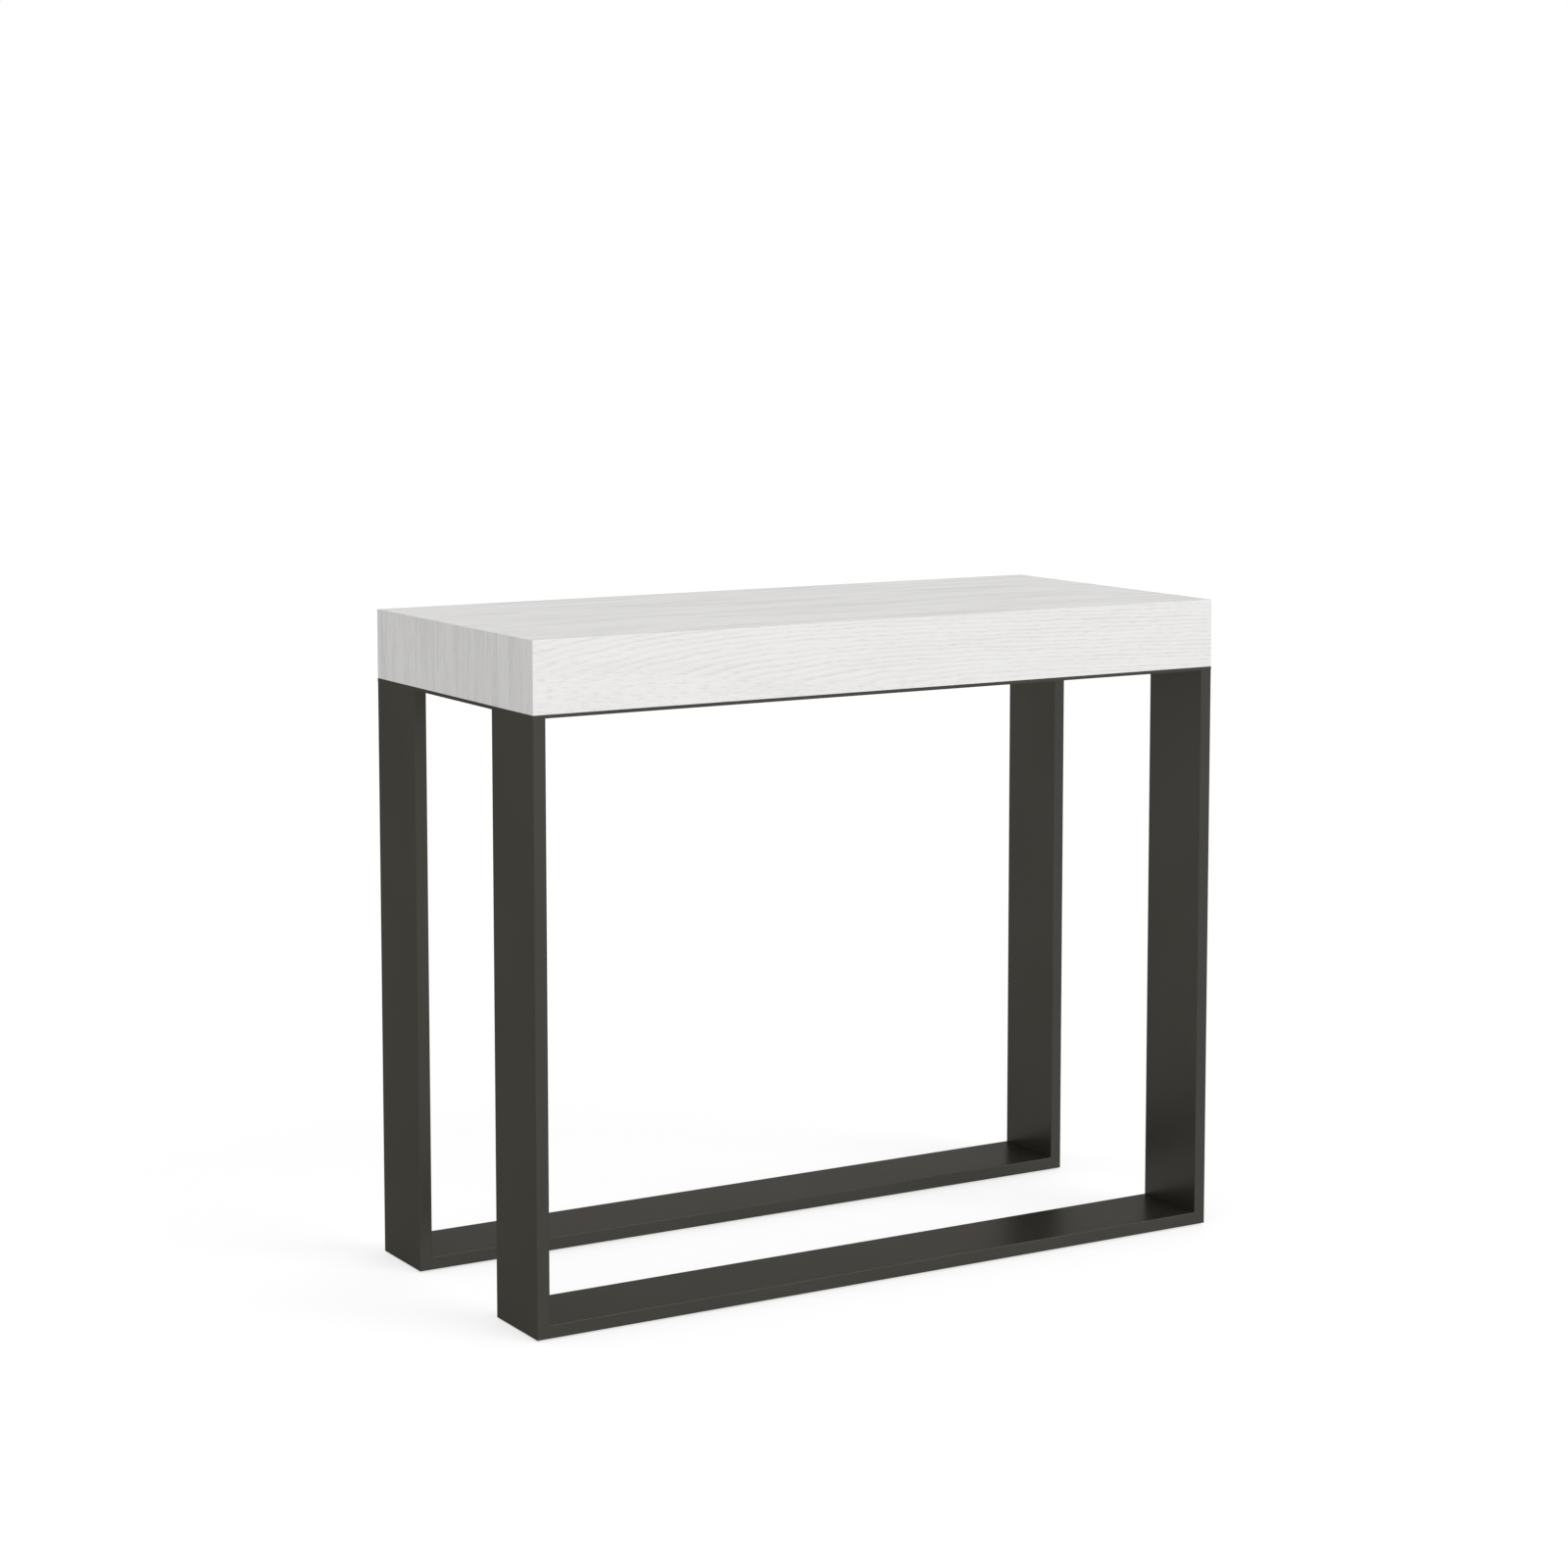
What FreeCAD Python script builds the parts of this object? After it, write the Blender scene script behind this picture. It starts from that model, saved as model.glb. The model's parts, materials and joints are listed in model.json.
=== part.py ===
"""Extending console table: two half boxes of board on two steel loop frames, joined by telescopic rails.

The origin is on the floor under the middle of the closed table. X runs along the long side, Y towards the
back and Z up. Lengths are in millimetres. The front half draws out towards -Y to make room for loose leaves.
"""

import FreeCAD, Part
import functools
import os

# Closed table
WIDTH = 900.0
DEPTH = 400.0
HEIGHT = 760.0
SEAM_GAP = 0.2  # hairline between the closed halves

# Board box: mitred panels with slightly eased outer edges
BOX_HEIGHT = 80.0
PANEL = 18.0
EDGE_ROUND = 0.6

# Steel loop frames: flat tube legs and floor rail, welded under a cut plate
PLATE = 4.0
PLATE_END_BAND = 60.0
PLATE_CORNER = 12.0
TUBE_DEPTH = 100.0
TUBE_THICKNESS = 15.0
TUBE_WALL = 1.5
TUBE_ROUND = 0.8

# Glides under the floor rails
GLIDE_HEIGHT = 2.0
GLIDE_DIAMETER = 24.0
GLIDE_MARGIN = 6.0
GLIDE_CHAMFER = 0.5
GLIDE_SIDES = 12
GLIDE_PLACE_SHARES = (-0.44, 0.0, 0.44)  # of the width

# Extension: travel for the leaves, shared by the moving rail stages
LEAF_COUNT = 3
LEAF_DEPTH = 520.0
STAGE_COUNT = 5

# Rail extrusions: a lipped channel on one side, a T tongue on the other
RAIL_WALL = 2.5
RAIL_CAVITY = 10.0
RAIL_LIP = 9.0
RAIL_GAP = 3.0  # from one rail's lips to the next rail's web
RAIL_END_GAP = 3.0  # from a rail's end to the board apron
RAIL_TOP_GAP = 0.5  # from a sliding rail to the top panel
RAIL_INSET = 60.0  # from the end panel to the outermost rail
TONGUE_NECK = 5.0
TONGUE_HEAD = 3.0
TONGUE_HEAD_MARGIN = 5.0  # from the tongue head to the channel's floor and roof
FLANGE_WIDTH = 25.0
FLANGE_SETBACK = 5.0  # from the flange's end to the seam

# Nylon shoes on the tongues
SHOE_CLEARANCE = 0.3
SHOE_LENGTH_SHARE = 0.32  # of the overlap that is left at full draw

# Stop rivets at the front end of each channel
STOP_DIAMETER = 5.0
STOP_REACH = 2.6
STOP_HEAD_DIAMETER = 8.0
STOP_HEAD = 1.5
STOP_SETBACK = 5.0  # from the rail's front end to the rivet's axis

# Crossbars that tie the left and right rail of a stage
BAR_WIDTH = 25.0
BAR_THICKNESS = 3.0
BAR_DROP = 1.5
BAR_SPREAD_SHARE = 0.22  # of half a rail's length, from one crossbar to the next
BAR_PLATE_GAP = 9.0
BAR_SCREW_SPACING = 14.0

# Screws, rivets and turned pins, drawn with flat sides
SCREW_SIDES = 6
PIN_SIDES = 12
FIT = 0.05  # radial room round a screw, dowel or rivet
WOOD_SCREW_DIAMETER = 4.0
WOOD_SCREW_TIP = 3.0
WOOD_SCREW_TIP_SHARE = 0.3  # of the shank's radius
PLATE_SCREW_LENGTH = 30.0
PLATE_SCREW_HEAD_DIAMETER = 8.0
PLATE_SCREW_SHARES = (-0.42, -0.14, 0.14, 0.42)  # of the width, along the apron
RAIL_SCREW_LENGTH = 16.0
RAIL_SCREW_HEAD_DIAMETER = 8.0
RAIL_SCREW_HEAD = 2.6
RAIL_SCREW_SHARES = (0.2, 0.8)  # of the flange's length
BAR_SCREW_DIAMETER = 4.0
BAR_SCREW_HEAD_DIAMETER = 8.0

# Dowels that line up the two top panels
DOWEL_DIAMETER = 8.0
DOWEL_SEAT = 22.0
DOWEL_REACH = 18.0
DOWEL_CHAMFER = 1.5
DOWEL_CLEARANCE = 0.2
DOWEL_SOCKET_ROOM = 1.0  # past the dowel's end
DOWEL_PLACE_SHARES = (-0.3, 0.0, 0.3)  # of the width

# Swivel latches under the top: a hooked lever on a shoulder screw in the front half, a stud in the rear half
LATCH_OFFSET = 100.0  # from the middle of the table
LATCH_SETBACK = 25.0  # of pivot and stud from the seam
LATCH_PLAY = 0.15
LEVER_THICKNESS = 3.0
LEVER_ARM = 14.0
LEVER_HUB_DIAMETER = 22.0
LEVER_HOOK_MARGIN = 10.0
LEVER_SLOT_CLEARANCE = 0.8
LEVER_HEEL_ANGLE = 14.0
LEVER_MOUTH_ANGLE = 11.0
LEVER_TAB_THICKNESS = 3.0
LEVER_TAB_DROP = 12.0
PIVOT_DIAMETER = 8.0
PIVOT_COLLAR_DIAMETER = 14.0
PIVOT_COLLAR = 4.0
PIVOT_HEAD = 3.0
PIVOT_HEAD_CHAMFER = 1.0
STUD_DIAMETER = 8.0
STUD_PAST_LEVER = 2.5
STUD_CHAMFER = 0.8
LATCH_SHANK_DIAMETER = 5.0
LATCH_SHANK = 12.0

SAME_PLACE = 0.001
PARALLEL_SHARE = 0.999  # of a unit vector's length, along another one
FULL_TURN = 360.0

FRONT, REAR = -1, 1
LEFT, RIGHT = -1, 1
SIDE_NAMES = {LEFT: "left", RIGHT: "right"}
HALF_NAMES = {FRONT: "front", REAR: "rear"}
UP = FreeCAD.Vector(0, 0, 1)

# Heights
PANEL_UNDERSIDE = HEIGHT - PANEL
BOX_BOTTOM = HEIGHT - BOX_HEIGHT
PLATE_BOTTOM = BOX_BOTTOM - PLATE
RAIL_TOP = PANEL_UNDERSIDE - RAIL_TOP_GAP
RAIL_BOTTOM = BOX_BOTTOM + BAR_PLATE_GAP + BAR_THICKNESS + BAR_DROP
RAIL_HEIGHT = RAIL_TOP - RAIL_BOTTOM
RAIL_MIDDLE = RAIL_HEIGHT / 2

# Rail set
CHANNEL_DEPTH = RAIL_WALL + RAIL_CAVITY + RAIL_WALL
RAIL_PITCH = CHANNEL_DEPTH + RAIL_GAP
RAIL_REACH = DEPTH / 2 - PANEL - RAIL_END_GAP  # from the middle of the table to a rail's end
OUTER_RAIL_PLACE = WIDTH / 2 - PANEL - RAIL_INSET
TONGUE_PLACE = -(RAIL_WALL + RAIL_CAVITY / 2 + RAIL_GAP)  # middle of the tongue's head, from its web
TONGUE_HEAD_HALF = RAIL_MIDDLE - RAIL_WALL - TONGUE_HEAD_MARGIN
STAGE_TRAVEL = LEAF_COUNT * LEAF_DEPTH / (STAGE_COUNT + 1)
OVERLAP = 2 * RAIL_REACH - STAGE_TRAVEL
FRONT_STAGE = STAGE_COUNT + 1  # the rails of the front half

LEVER_REACH = 2 * LATCH_SETBACK
LEVER_TOP = PANEL_UNDERSIDE - PIVOT_COLLAR - LATCH_PLAY
LEVER_BOTTOM = LEVER_TOP - LEVER_THICKNESS


def block(x0, x1, y0, y1, z0, z1):
    """A box between two corners, given in any order."""
    low = FreeCAD.Vector(min(x0, x1), min(y0, y1), min(z0, z1))
    return Part.makeBox(abs(x1 - x0), abs(y1 - y0), abs(z1 - z0), low)


def flat_face(corners):
    return Part.Face(Part.makePolygon(corners + corners[:1]))


def prism(corners, along):
    """An outline of corner points, extruded along a vector."""
    return flat_face(corners).extrude(along)


def prism_x(outline, x0, x1):
    return prism([FreeCAD.Vector(x0, y, z) for y, z in outline], FreeCAD.Vector(x1 - x0, 0, 0))


def prism_y(outline, y0, y1):
    return prism([FreeCAD.Vector(x, y0, z) for x, z in outline], FreeCAD.Vector(0, y1 - y0, 0))


def prism_z(outline, z0, z1):
    return prism([FreeCAD.Vector(x, y, z0) for x, y in outline], FreeCAD.Vector(0, 0, z1 - z0))


def ring(radius, height, sides):
    """The corners of a flat-sided outline round the Z axis."""
    corner = FreeCAD.Vector(radius, 0, height)
    return [FreeCAD.Rotation(UP, FULL_TURN * step / sides).multVec(corner) for step in range(sides)]


@functools.lru_cache
def faceted_form(profile, sides):
    """A small turned form with flat sides, from (radius, height) points, on the Z axis."""
    rings = [ring(radius, height, sides) for radius, height in profile]
    faces = [flat_face(rings[0][::-1]), flat_face(rings[-1])]
    for low, high in zip(rings, rings[1:]):
        faces += [flat_face([low[step - 1], low[step], high[step], high[step - 1]]) for step in range(sides)]
    return Part.Solid(Part.Shell(faces)).removeSplitter()


def faceted(profile, place, axis=UP, sides=SCREW_SIDES):
    """A faceted form that starts at the place and runs along the axis."""
    solid = faceted_form(tuple(profile), sides).copy()
    solid.Placement = FreeCAD.Placement(place, FreeCAD.Rotation(UP, axis))
    return solid


def save(name, *solids):
    """Writes one node, which may be a group of separate solids."""
    shape = solids[0] if len(solids) == 1 else Part.makeCompound(list(solids))
    if not shape.isValid():
        raise ValueError("node " + name + " is not a valid shape")
    shape.exportStep("parts/" + name + ".step")


def seam_face(half):
    return half * SEAM_GAP / 2


def outer_face(half):
    return half * DEPTH / 2


def inside(half, distance):
    """The Y that lies a distance in from the half's outer long face."""
    return half * (DEPTH / 2 - distance)


# Fasteners, as profiles from the head's outer face to the far end

def plate_screw_profile(room=0):
    """A countersunk wood screw."""
    radius, head_radius = WOOD_SCREW_DIAMETER / 2 + room, PLATE_SCREW_HEAD_DIAMETER / 2 + room
    return [(head_radius, 0), (radius, head_radius - radius), (radius, PLATE_SCREW_LENGTH - WOOD_SCREW_TIP),
            (WOOD_SCREW_TIP_SHARE * radius, PLATE_SCREW_LENGTH)]


def rail_screw_profile(room=0):
    """A pan head wood screw."""
    radius, head_radius = WOOD_SCREW_DIAMETER / 2 + room, RAIL_SCREW_HEAD_DIAMETER / 2 + room
    tip = RAIL_SCREW_HEAD + RAIL_SCREW_LENGTH
    return [(head_radius, 0), (head_radius, RAIL_SCREW_HEAD), (radius, RAIL_SCREW_HEAD),
            (radius, tip - WOOD_SCREW_TIP), (WOOD_SCREW_TIP_SHARE * radius, tip)]


def bar_screw_profile(room=0):
    """A short countersunk machine screw, from the underside of a crossbar to the inside of the channel."""
    radius, head_radius = BAR_SCREW_DIAMETER / 2 + room, BAR_SCREW_HEAD_DIAMETER / 2 + room
    return [(head_radius, 0), (radius, head_radius - radius), (radius, BAR_THICKNESS + RAIL_WALL)]


def stop_profile(room=0):
    """A rivet that stands out of the web's inner face."""
    radius, head_radius = STOP_DIAMETER / 2 + room, STOP_HEAD_DIAMETER / 2
    return [(head_radius, 0), (head_radius, STOP_HEAD), (radius, STOP_HEAD),
            (radius, STOP_HEAD + RAIL_WALL + STOP_REACH)]


def pivot_profile(room=0):
    """A shoulder screw that a lever turns on, from its head up to its shank's end in the panel."""
    neck = PIVOT_HEAD + LEVER_THICKNESS + 2 * LATCH_PLAY
    seat = neck + PIVOT_COLLAR
    wide, radius, shank = PIVOT_COLLAR_DIAMETER / 2, PIVOT_DIAMETER / 2, LATCH_SHANK_DIAMETER / 2 + room
    return [(wide - PIVOT_HEAD_CHAMFER, 0), (wide, PIVOT_HEAD_CHAMFER), (wide, PIVOT_HEAD),
            (radius, PIVOT_HEAD), (radius, neck), (wide, neck), (wide, seat), (shank, seat),
            (shank, seat + LATCH_SHANK)]


def stud_profile(room=0):
    """A plain stud that a lever hooks, from its free end up to its shank's end in the panel."""
    seat = STUD_PAST_LEVER + LEVER_THICKNESS + LATCH_PLAY + PIVOT_COLLAR
    radius, shank = STUD_DIAMETER / 2, LATCH_SHANK_DIAMETER / 2 + room
    return [(radius - STUD_CHAMFER, 0), (radius, STUD_CHAMFER), (radius, seat), (shank, seat),
            (shank, seat + LATCH_SHANK)]


# Board box

def eased_half_box(half):
    """The outside of one half box, with its outer edges rounded over."""
    hull = block(-WIDTH / 2, WIDTH / 2, seam_face(half), outer_face(half), BOX_BOTTOM, HEIGHT)

    def is_outer(edge):
        middle = edge.CenterOfMass
        on_top = abs(middle.z - HEIGHT) < SAME_PLACE
        on_long_face = abs(middle.y - outer_face(half)) < SAME_PLACE
        on_end = abs(abs(middle.x) - WIDTH / 2) < SAME_PLACE
        return on_top + on_long_face + on_end == 2

    return hull.makeFillet(EDGE_ROUND, [edge for edge in hull.Edges if is_outer(edge)])


def mitre_across(half):
    """The top and the apron's shared mitre, as (y, z) corners of the top panel."""
    return [(seam_face(half), HEIGHT), (outer_face(half), HEIGHT),
            (inside(half, PANEL), PANEL_UNDERSIDE), (seam_face(half), PANEL_UNDERSIDE)]


def top_panel(half, hull):
    ends = [(-WIDTH / 2, HEIGHT), (WIDTH / 2, HEIGHT),
            (WIDTH / 2 - PANEL, PANEL_UNDERSIDE), (PANEL - WIDTH / 2, PANEL_UNDERSIDE)]
    panel = prism_y(ends, seam_face(half), outer_face(half))
    panel = panel.common(prism_x(mitre_across(half), -WIDTH / 2, WIDTH / 2)).common(hull)
    for cutter in rail_screws(half, FIT) + latch_screws(half, FIT) + dowel_holes(half):
        panel = panel.cut(cutter)
    return panel


def apron(half, hull):
    ends = [(-WIDTH / 2, outer_face(half)), (WIDTH / 2, outer_face(half)),
            (WIDTH / 2 - PANEL, inside(half, PANEL)), (PANEL - WIDTH / 2, inside(half, PANEL))]
    section = [(outer_face(half), BOX_BOTTOM), (outer_face(half), HEIGHT),
               (inside(half, PANEL), PANEL_UNDERSIDE), (inside(half, PANEL), BOX_BOTTOM)]
    panel = prism_z(ends, BOX_BOTTOM, HEIGHT).common(prism_x(section, -WIDTH / 2, WIDTH / 2)).common(hull)
    for cutter in plate_screws(half, FIT):
        panel = panel.cut(cutter)
    return panel


def end_panel(half, side, hull):
    outside, inner = side * WIDTH / 2, side * (WIDTH / 2 - PANEL)
    plan = [(outside, seam_face(half)), (outside, outer_face(half)),
            (inner, inside(half, PANEL)), (inner, seam_face(half))]
    section = [(outside, BOX_BOTTOM), (outside, HEIGHT), (inner, PANEL_UNDERSIDE), (inner, BOX_BOTTOM)]
    panel = prism_z(plan, BOX_BOTTOM, HEIGHT)
    panel = panel.common(prism_y(section, seam_face(half), outer_face(half))).common(hull)
    for cutter in plate_screws(half, FIT):
        panel = panel.cut(cutter)
    return panel


def dowels(room=0, reach=DOWEL_REACH):
    """Dowels in the front panel's seam edge, pointing to the rear; with room, the holes for them."""
    radius, length = DOWEL_DIAMETER / 2 + room, DOWEL_SEAT + reach
    profile = [(radius - DOWEL_CHAMFER, 0), (radius, DOWEL_CHAMFER), (radius, length - DOWEL_CHAMFER),
               (radius - DOWEL_CHAMFER, length)]
    start, height = seam_face(FRONT) - DOWEL_SEAT, HEIGHT - PANEL / 2
    places = [FreeCAD.Vector(share * WIDTH, start, height) for share in DOWEL_PLACE_SHARES]
    return [faceted(profile, place, FreeCAD.Vector(0, 1, 0), PIN_SIDES) for place in places]


def dowel_holes(half):
    """Glued seats in the front panel, looser and deeper sockets in the rear one."""
    if half == FRONT:
        return dowels(FIT)
    return dowels(DOWEL_CLEARANCE, DOWEL_REACH + DOWEL_SOCKET_ROOM)


# Steel frames

def long_edges(solid, axis):
    """The edges that run along an axis."""
    return [edge for edge in solid.Edges
            if abs(edge.tangentAt(edge.FirstParameter).dot(axis)) > PARALLEL_SHARE]


def tube(outer, inner, axis):
    """A flat tube with rounded outer corners along its axis."""
    return outer.makeFillet(TUBE_ROUND, long_edges(outer, axis)).cut(inner)


def leg(half, side):
    outside, inner = side * WIDTH / 2, side * (WIDTH / 2 - TUBE_THICKNESS)
    floor_rail_top = GLIDE_HEIGHT + TUBE_THICKNESS
    y0, y1 = outer_face(half), inside(half, TUBE_DEPTH)
    outer = block(outside, inner, y0, y1, GLIDE_HEIGHT, PLATE_BOTTOM)
    bore = block(outside - side * TUBE_WALL, inner + side * TUBE_WALL, y0 - half * TUBE_WALL,
                 y1 + half * TUBE_WALL, GLIDE_HEIGHT, PLATE_BOTTOM)
    mitre = [(outside, GLIDE_HEIGHT), (outside, PLATE_BOTTOM), (inner, PLATE_BOTTOM),
             (inner, floor_rail_top)]
    return tube(outer, bore, UP).common(prism_y(mitre, y0, y1))


def floor_rail(half):
    top = GLIDE_HEIGHT + TUBE_THICKNESS
    y0, y1 = outer_face(half), inside(half, TUBE_DEPTH)
    outer = block(-WIDTH / 2, WIDTH / 2, y0, y1, GLIDE_HEIGHT, top)
    bore = block(-WIDTH / 2, WIDTH / 2, y0 - half * TUBE_WALL, y1 + half * TUBE_WALL,
                 GLIDE_HEIGHT + TUBE_WALL, top - TUBE_WALL)
    mitre = [(-WIDTH / 2, GLIDE_HEIGHT), (WIDTH / 2, GLIDE_HEIGHT),
             (WIDTH / 2 - TUBE_THICKNESS, top), (TUBE_THICKNESS - WIDTH / 2, top)]
    return tube(outer, bore, FreeCAD.Vector(1, 0, 0)).common(prism_y(mitre, y0, y1))


def frame_plate(half):
    """The plate on top of a frame: one long band over the tubes and two short end bands to the seam."""
    opening = WIDTH / 2 - PLATE_END_BAND
    band = inside(half, TUBE_DEPTH)
    outline = [(-WIDTH / 2, outer_face(half)), (WIDTH / 2, outer_face(half)), (WIDTH / 2, seam_face(half)),
               (opening, seam_face(half)), (opening, band), (-opening, band),
               (-opening, seam_face(half)), (-WIDTH / 2, seam_face(half))]
    plate = prism_z(outline, PLATE_BOTTOM, BOX_BOTTOM)
    corners = [edge for edge in long_edges(plate, UP)
               if abs(edge.CenterOfMass.y - band) < SAME_PLACE]
    plate = plate.makeFillet(PLATE_CORNER, corners)
    for cutter in plate_screws(half, FIT):
        plate = plate.cut(cutter)
    return plate


def plate_screws(half, room=0):
    """Countersunk screws up through the plate into the apron and the end panels."""
    past_leg = (DEPTH / 2 - TUBE_DEPTH) / 2
    places = [(share * WIDTH, inside(half, PANEL / 2)) for share in PLATE_SCREW_SHARES]
    places += [(side * (WIDTH - PANEL) / 2, half * past_leg) for side in (LEFT, RIGHT)]
    return [faceted(plate_screw_profile(room), FreeCAD.Vector(x, y, PLATE_BOTTOM)) for x, y in places]


def glides(half):
    radius = GLIDE_DIAMETER / 2
    profile = [(radius - GLIDE_CHAMFER, 0), (radius, GLIDE_CHAMFER), (radius, GLIDE_HEIGHT)]
    margin = radius + GLIDE_MARGIN
    rows = (inside(half, margin), inside(half, TUBE_DEPTH - margin))
    return [faceted(profile, FreeCAD.Vector(share * WIDTH, y, 0), UP, GLIDE_SIDES)
            for share in GLIDE_PLACE_SHARES for y in rows]


# Telescopic rails

def rail_place(stage):
    """How far a stage's rail web lies from the middle of the table."""
    return OUTER_RAIL_PLACE - stage * RAIL_PITCH


def across(stage, side, section):
    """A section of (distance from the web towards the next rail, height) points, as (x, z) points."""
    return [(side * (rail_place(stage) - u), RAIL_BOTTOM + v) for u, v in section]


def channel_section():
    """From the web's foot round the lipped channel to the web's head."""
    lip, roof = CHANNEL_DEPTH - RAIL_WALL, RAIL_HEIGHT - RAIL_WALL
    return [(0, 0), (CHANNEL_DEPTH, 0), (CHANNEL_DEPTH, RAIL_WALL + RAIL_LIP), (lip, RAIL_WALL + RAIL_LIP),
            (lip, RAIL_WALL), (RAIL_WALL, RAIL_WALL), (RAIL_WALL, roof), (lip, roof), (lip, roof - RAIL_LIP),
            (CHANNEL_DEPTH, roof - RAIL_LIP), (CHANNEL_DEPTH, RAIL_HEIGHT), (0, RAIL_HEIGHT)]


def tongue_section():
    """From the web's head side round the T tongue to the web's foot side."""
    near, far = TONGUE_PLACE + TONGUE_HEAD / 2, TONGUE_PLACE - TONGUE_HEAD / 2
    neck_top, neck_foot = RAIL_MIDDLE + TONGUE_NECK / 2, RAIL_MIDDLE - TONGUE_NECK / 2
    head_top, head_foot = RAIL_MIDDLE + TONGUE_HEAD_HALF, RAIL_MIDDLE - TONGUE_HEAD_HALF
    return [(0, neck_top), (near, neck_top), (near, head_top), (far, head_top), (far, head_foot),
            (near, head_foot), (near, neck_foot), (0, neck_foot)]


def web_section():
    return [(0, 0), (RAIL_WALL, 0), (RAIL_WALL, RAIL_HEIGHT), (0, RAIL_HEIGHT)]


def rail(stage, side):
    """One rail: the rear half's has no tongue and the front half's no channel."""
    section = web_section() if stage == FRONT_STAGE else channel_section()
    if stage > 0:
        section = section + tongue_section()
    solid = prism_y(across(stage, side, section), -RAIL_REACH, RAIL_REACH)
    half = {0: REAR, FRONT_STAGE: FRONT}.get(stage)
    if half is None:
        for cutter in bar_screws(stage, FIT):
            solid = solid.cut(cutter)
    else:
        solid = solid.fuse(flange(half, side)).removeSplitter()
        for cutter in rail_screws(half, FIT):
            solid = solid.cut(cutter)
    if stage < FRONT_STAGE:
        solid = solid.cut(stop_rivet(stage, side, FIT))
    return solid


def flange_ends(half):
    """The Y of a mounting flange's end near the seam and of its far end."""
    return half * FLANGE_SETBACK, half * RAIL_REACH


def flange(half, side):
    """A fixed rail's mounting flange, against the top panel, on the side away from the sliding rails."""
    stage = 0 if half == REAR else FRONT_STAGE
    tip = -FLANGE_WIDTH if half == REAR else RAIL_WALL + FLANGE_WIDTH
    root = RAIL_WALL if half == REAR else 0
    near, far = flange_ends(half)
    roof = RAIL_HEIGHT + RAIL_TOP_GAP
    section = [(tip, RAIL_HEIGHT - RAIL_WALL), (root, RAIL_HEIGHT - RAIL_WALL), (root, roof), (tip, roof)]
    return prism_y(across(stage, side, section), near, far)


def rail_screws(half, room=0):
    """Pan head screws up through the flanges into the top panel."""
    stage = 0 if half == REAR else FRONT_STAGE
    middle = -FLANGE_WIDTH / 2 if half == REAR else RAIL_WALL + FLANGE_WIDTH / 2
    near, far = flange_ends(half)
    head = RAIL_TOP - RAIL_WALL - RAIL_SCREW_HEAD
    places = [(side * (rail_place(stage) - middle), near + share * (far - near))
              for side in (LEFT, RIGHT) for share in RAIL_SCREW_SHARES]
    return [faceted(rail_screw_profile(room), FreeCAD.Vector(x, y, head)) for x, y in places]


def stop_rivet(stage, side, room=0):
    """A rivet through the web that a shoe of the next rail meets at full draw."""
    neck_top = RAIL_MIDDLE + TONGUE_NECK / 2
    height = RAIL_BOTTOM + (neck_top + RAIL_HEIGHT) / 2
    place = FreeCAD.Vector(side * (rail_place(stage) + STOP_HEAD), STOP_SETBACK - RAIL_REACH, height)
    return faceted(stop_profile(room), place, FreeCAD.Vector(-side, 0, 0))


def shoes(stage):
    """Nylon shoes on a stage's tongues: at the rear end, and where the stop meets them at full draw."""
    side_play = RAIL_CAVITY / 2 - SHOE_CLEARANCE
    near, far = TONGUE_PLACE + side_play, TONGUE_PLACE - side_play
    foot, head = RAIL_WALL + SHOE_CLEARANCE, RAIL_HEIGHT - RAIL_WALL - SHOE_CLEARANCE
    slot = tongue_section()[1:-1]
    neck_top, neck_foot = (near, slot[0][1]), (near, slot[-1][1])
    section = [neck_top] + slot + [neck_foot, (near, foot), (far, foot), (far, head), (near, head)]
    length = SHOE_LENGTH_SHARE * OVERLAP
    met_by_stop = RAIL_REACH - OVERLAP + STOP_SETBACK + STOP_DIAMETER / 2 + SHOE_CLEARANCE
    starts = (RAIL_REACH - length, met_by_stop)
    return [prism_y(across(stage, side, section), start, start + length)
            for side in (LEFT, RIGHT) for start in starts]


def bar_place(stage):
    """The Y of a crossbar: each stage's lies ahead of the one before, so that they never meet."""
    return (FRONT_STAGE / 2 - stage) * BAR_SPREAD_SHARE * RAIL_REACH


def crossbar(stage):
    """A flat bar under the rails with joggled ends, which clears the rails that run above it."""
    end = rail_place(stage)
    step, low = end - CHANNEL_DEPTH, end - CHANNEL_DEPTH - BAR_DROP
    top, dropped = RAIL_BOTTOM, RAIL_BOTTOM - BAR_DROP
    upper = [(-end, top), (-step, top), (-low, dropped), (low, dropped), (step, top), (end, top)]
    lower = [(x, z - BAR_THICKNESS) for x, z in reversed(upper)]
    y = bar_place(stage)
    bar = prism_y(upper + lower, y - BAR_WIDTH / 2, y + BAR_WIDTH / 2)
    for cutter in bar_screws(stage, FIT):
        bar = bar.cut(cutter)
    return bar


def bar_screws(stage, room=0):
    middle, head = rail_place(stage) - CHANNEL_DEPTH / 2, RAIL_BOTTOM - BAR_THICKNESS
    places = [(side * middle, bar_place(stage) + step * BAR_SCREW_SPACING / 2)
              for side in (LEFT, RIGHT) for step in (-1, 1)]
    return [faceted(bar_screw_profile(room), FreeCAD.Vector(x, y, head)) for x, y in places]


# Latches

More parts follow.
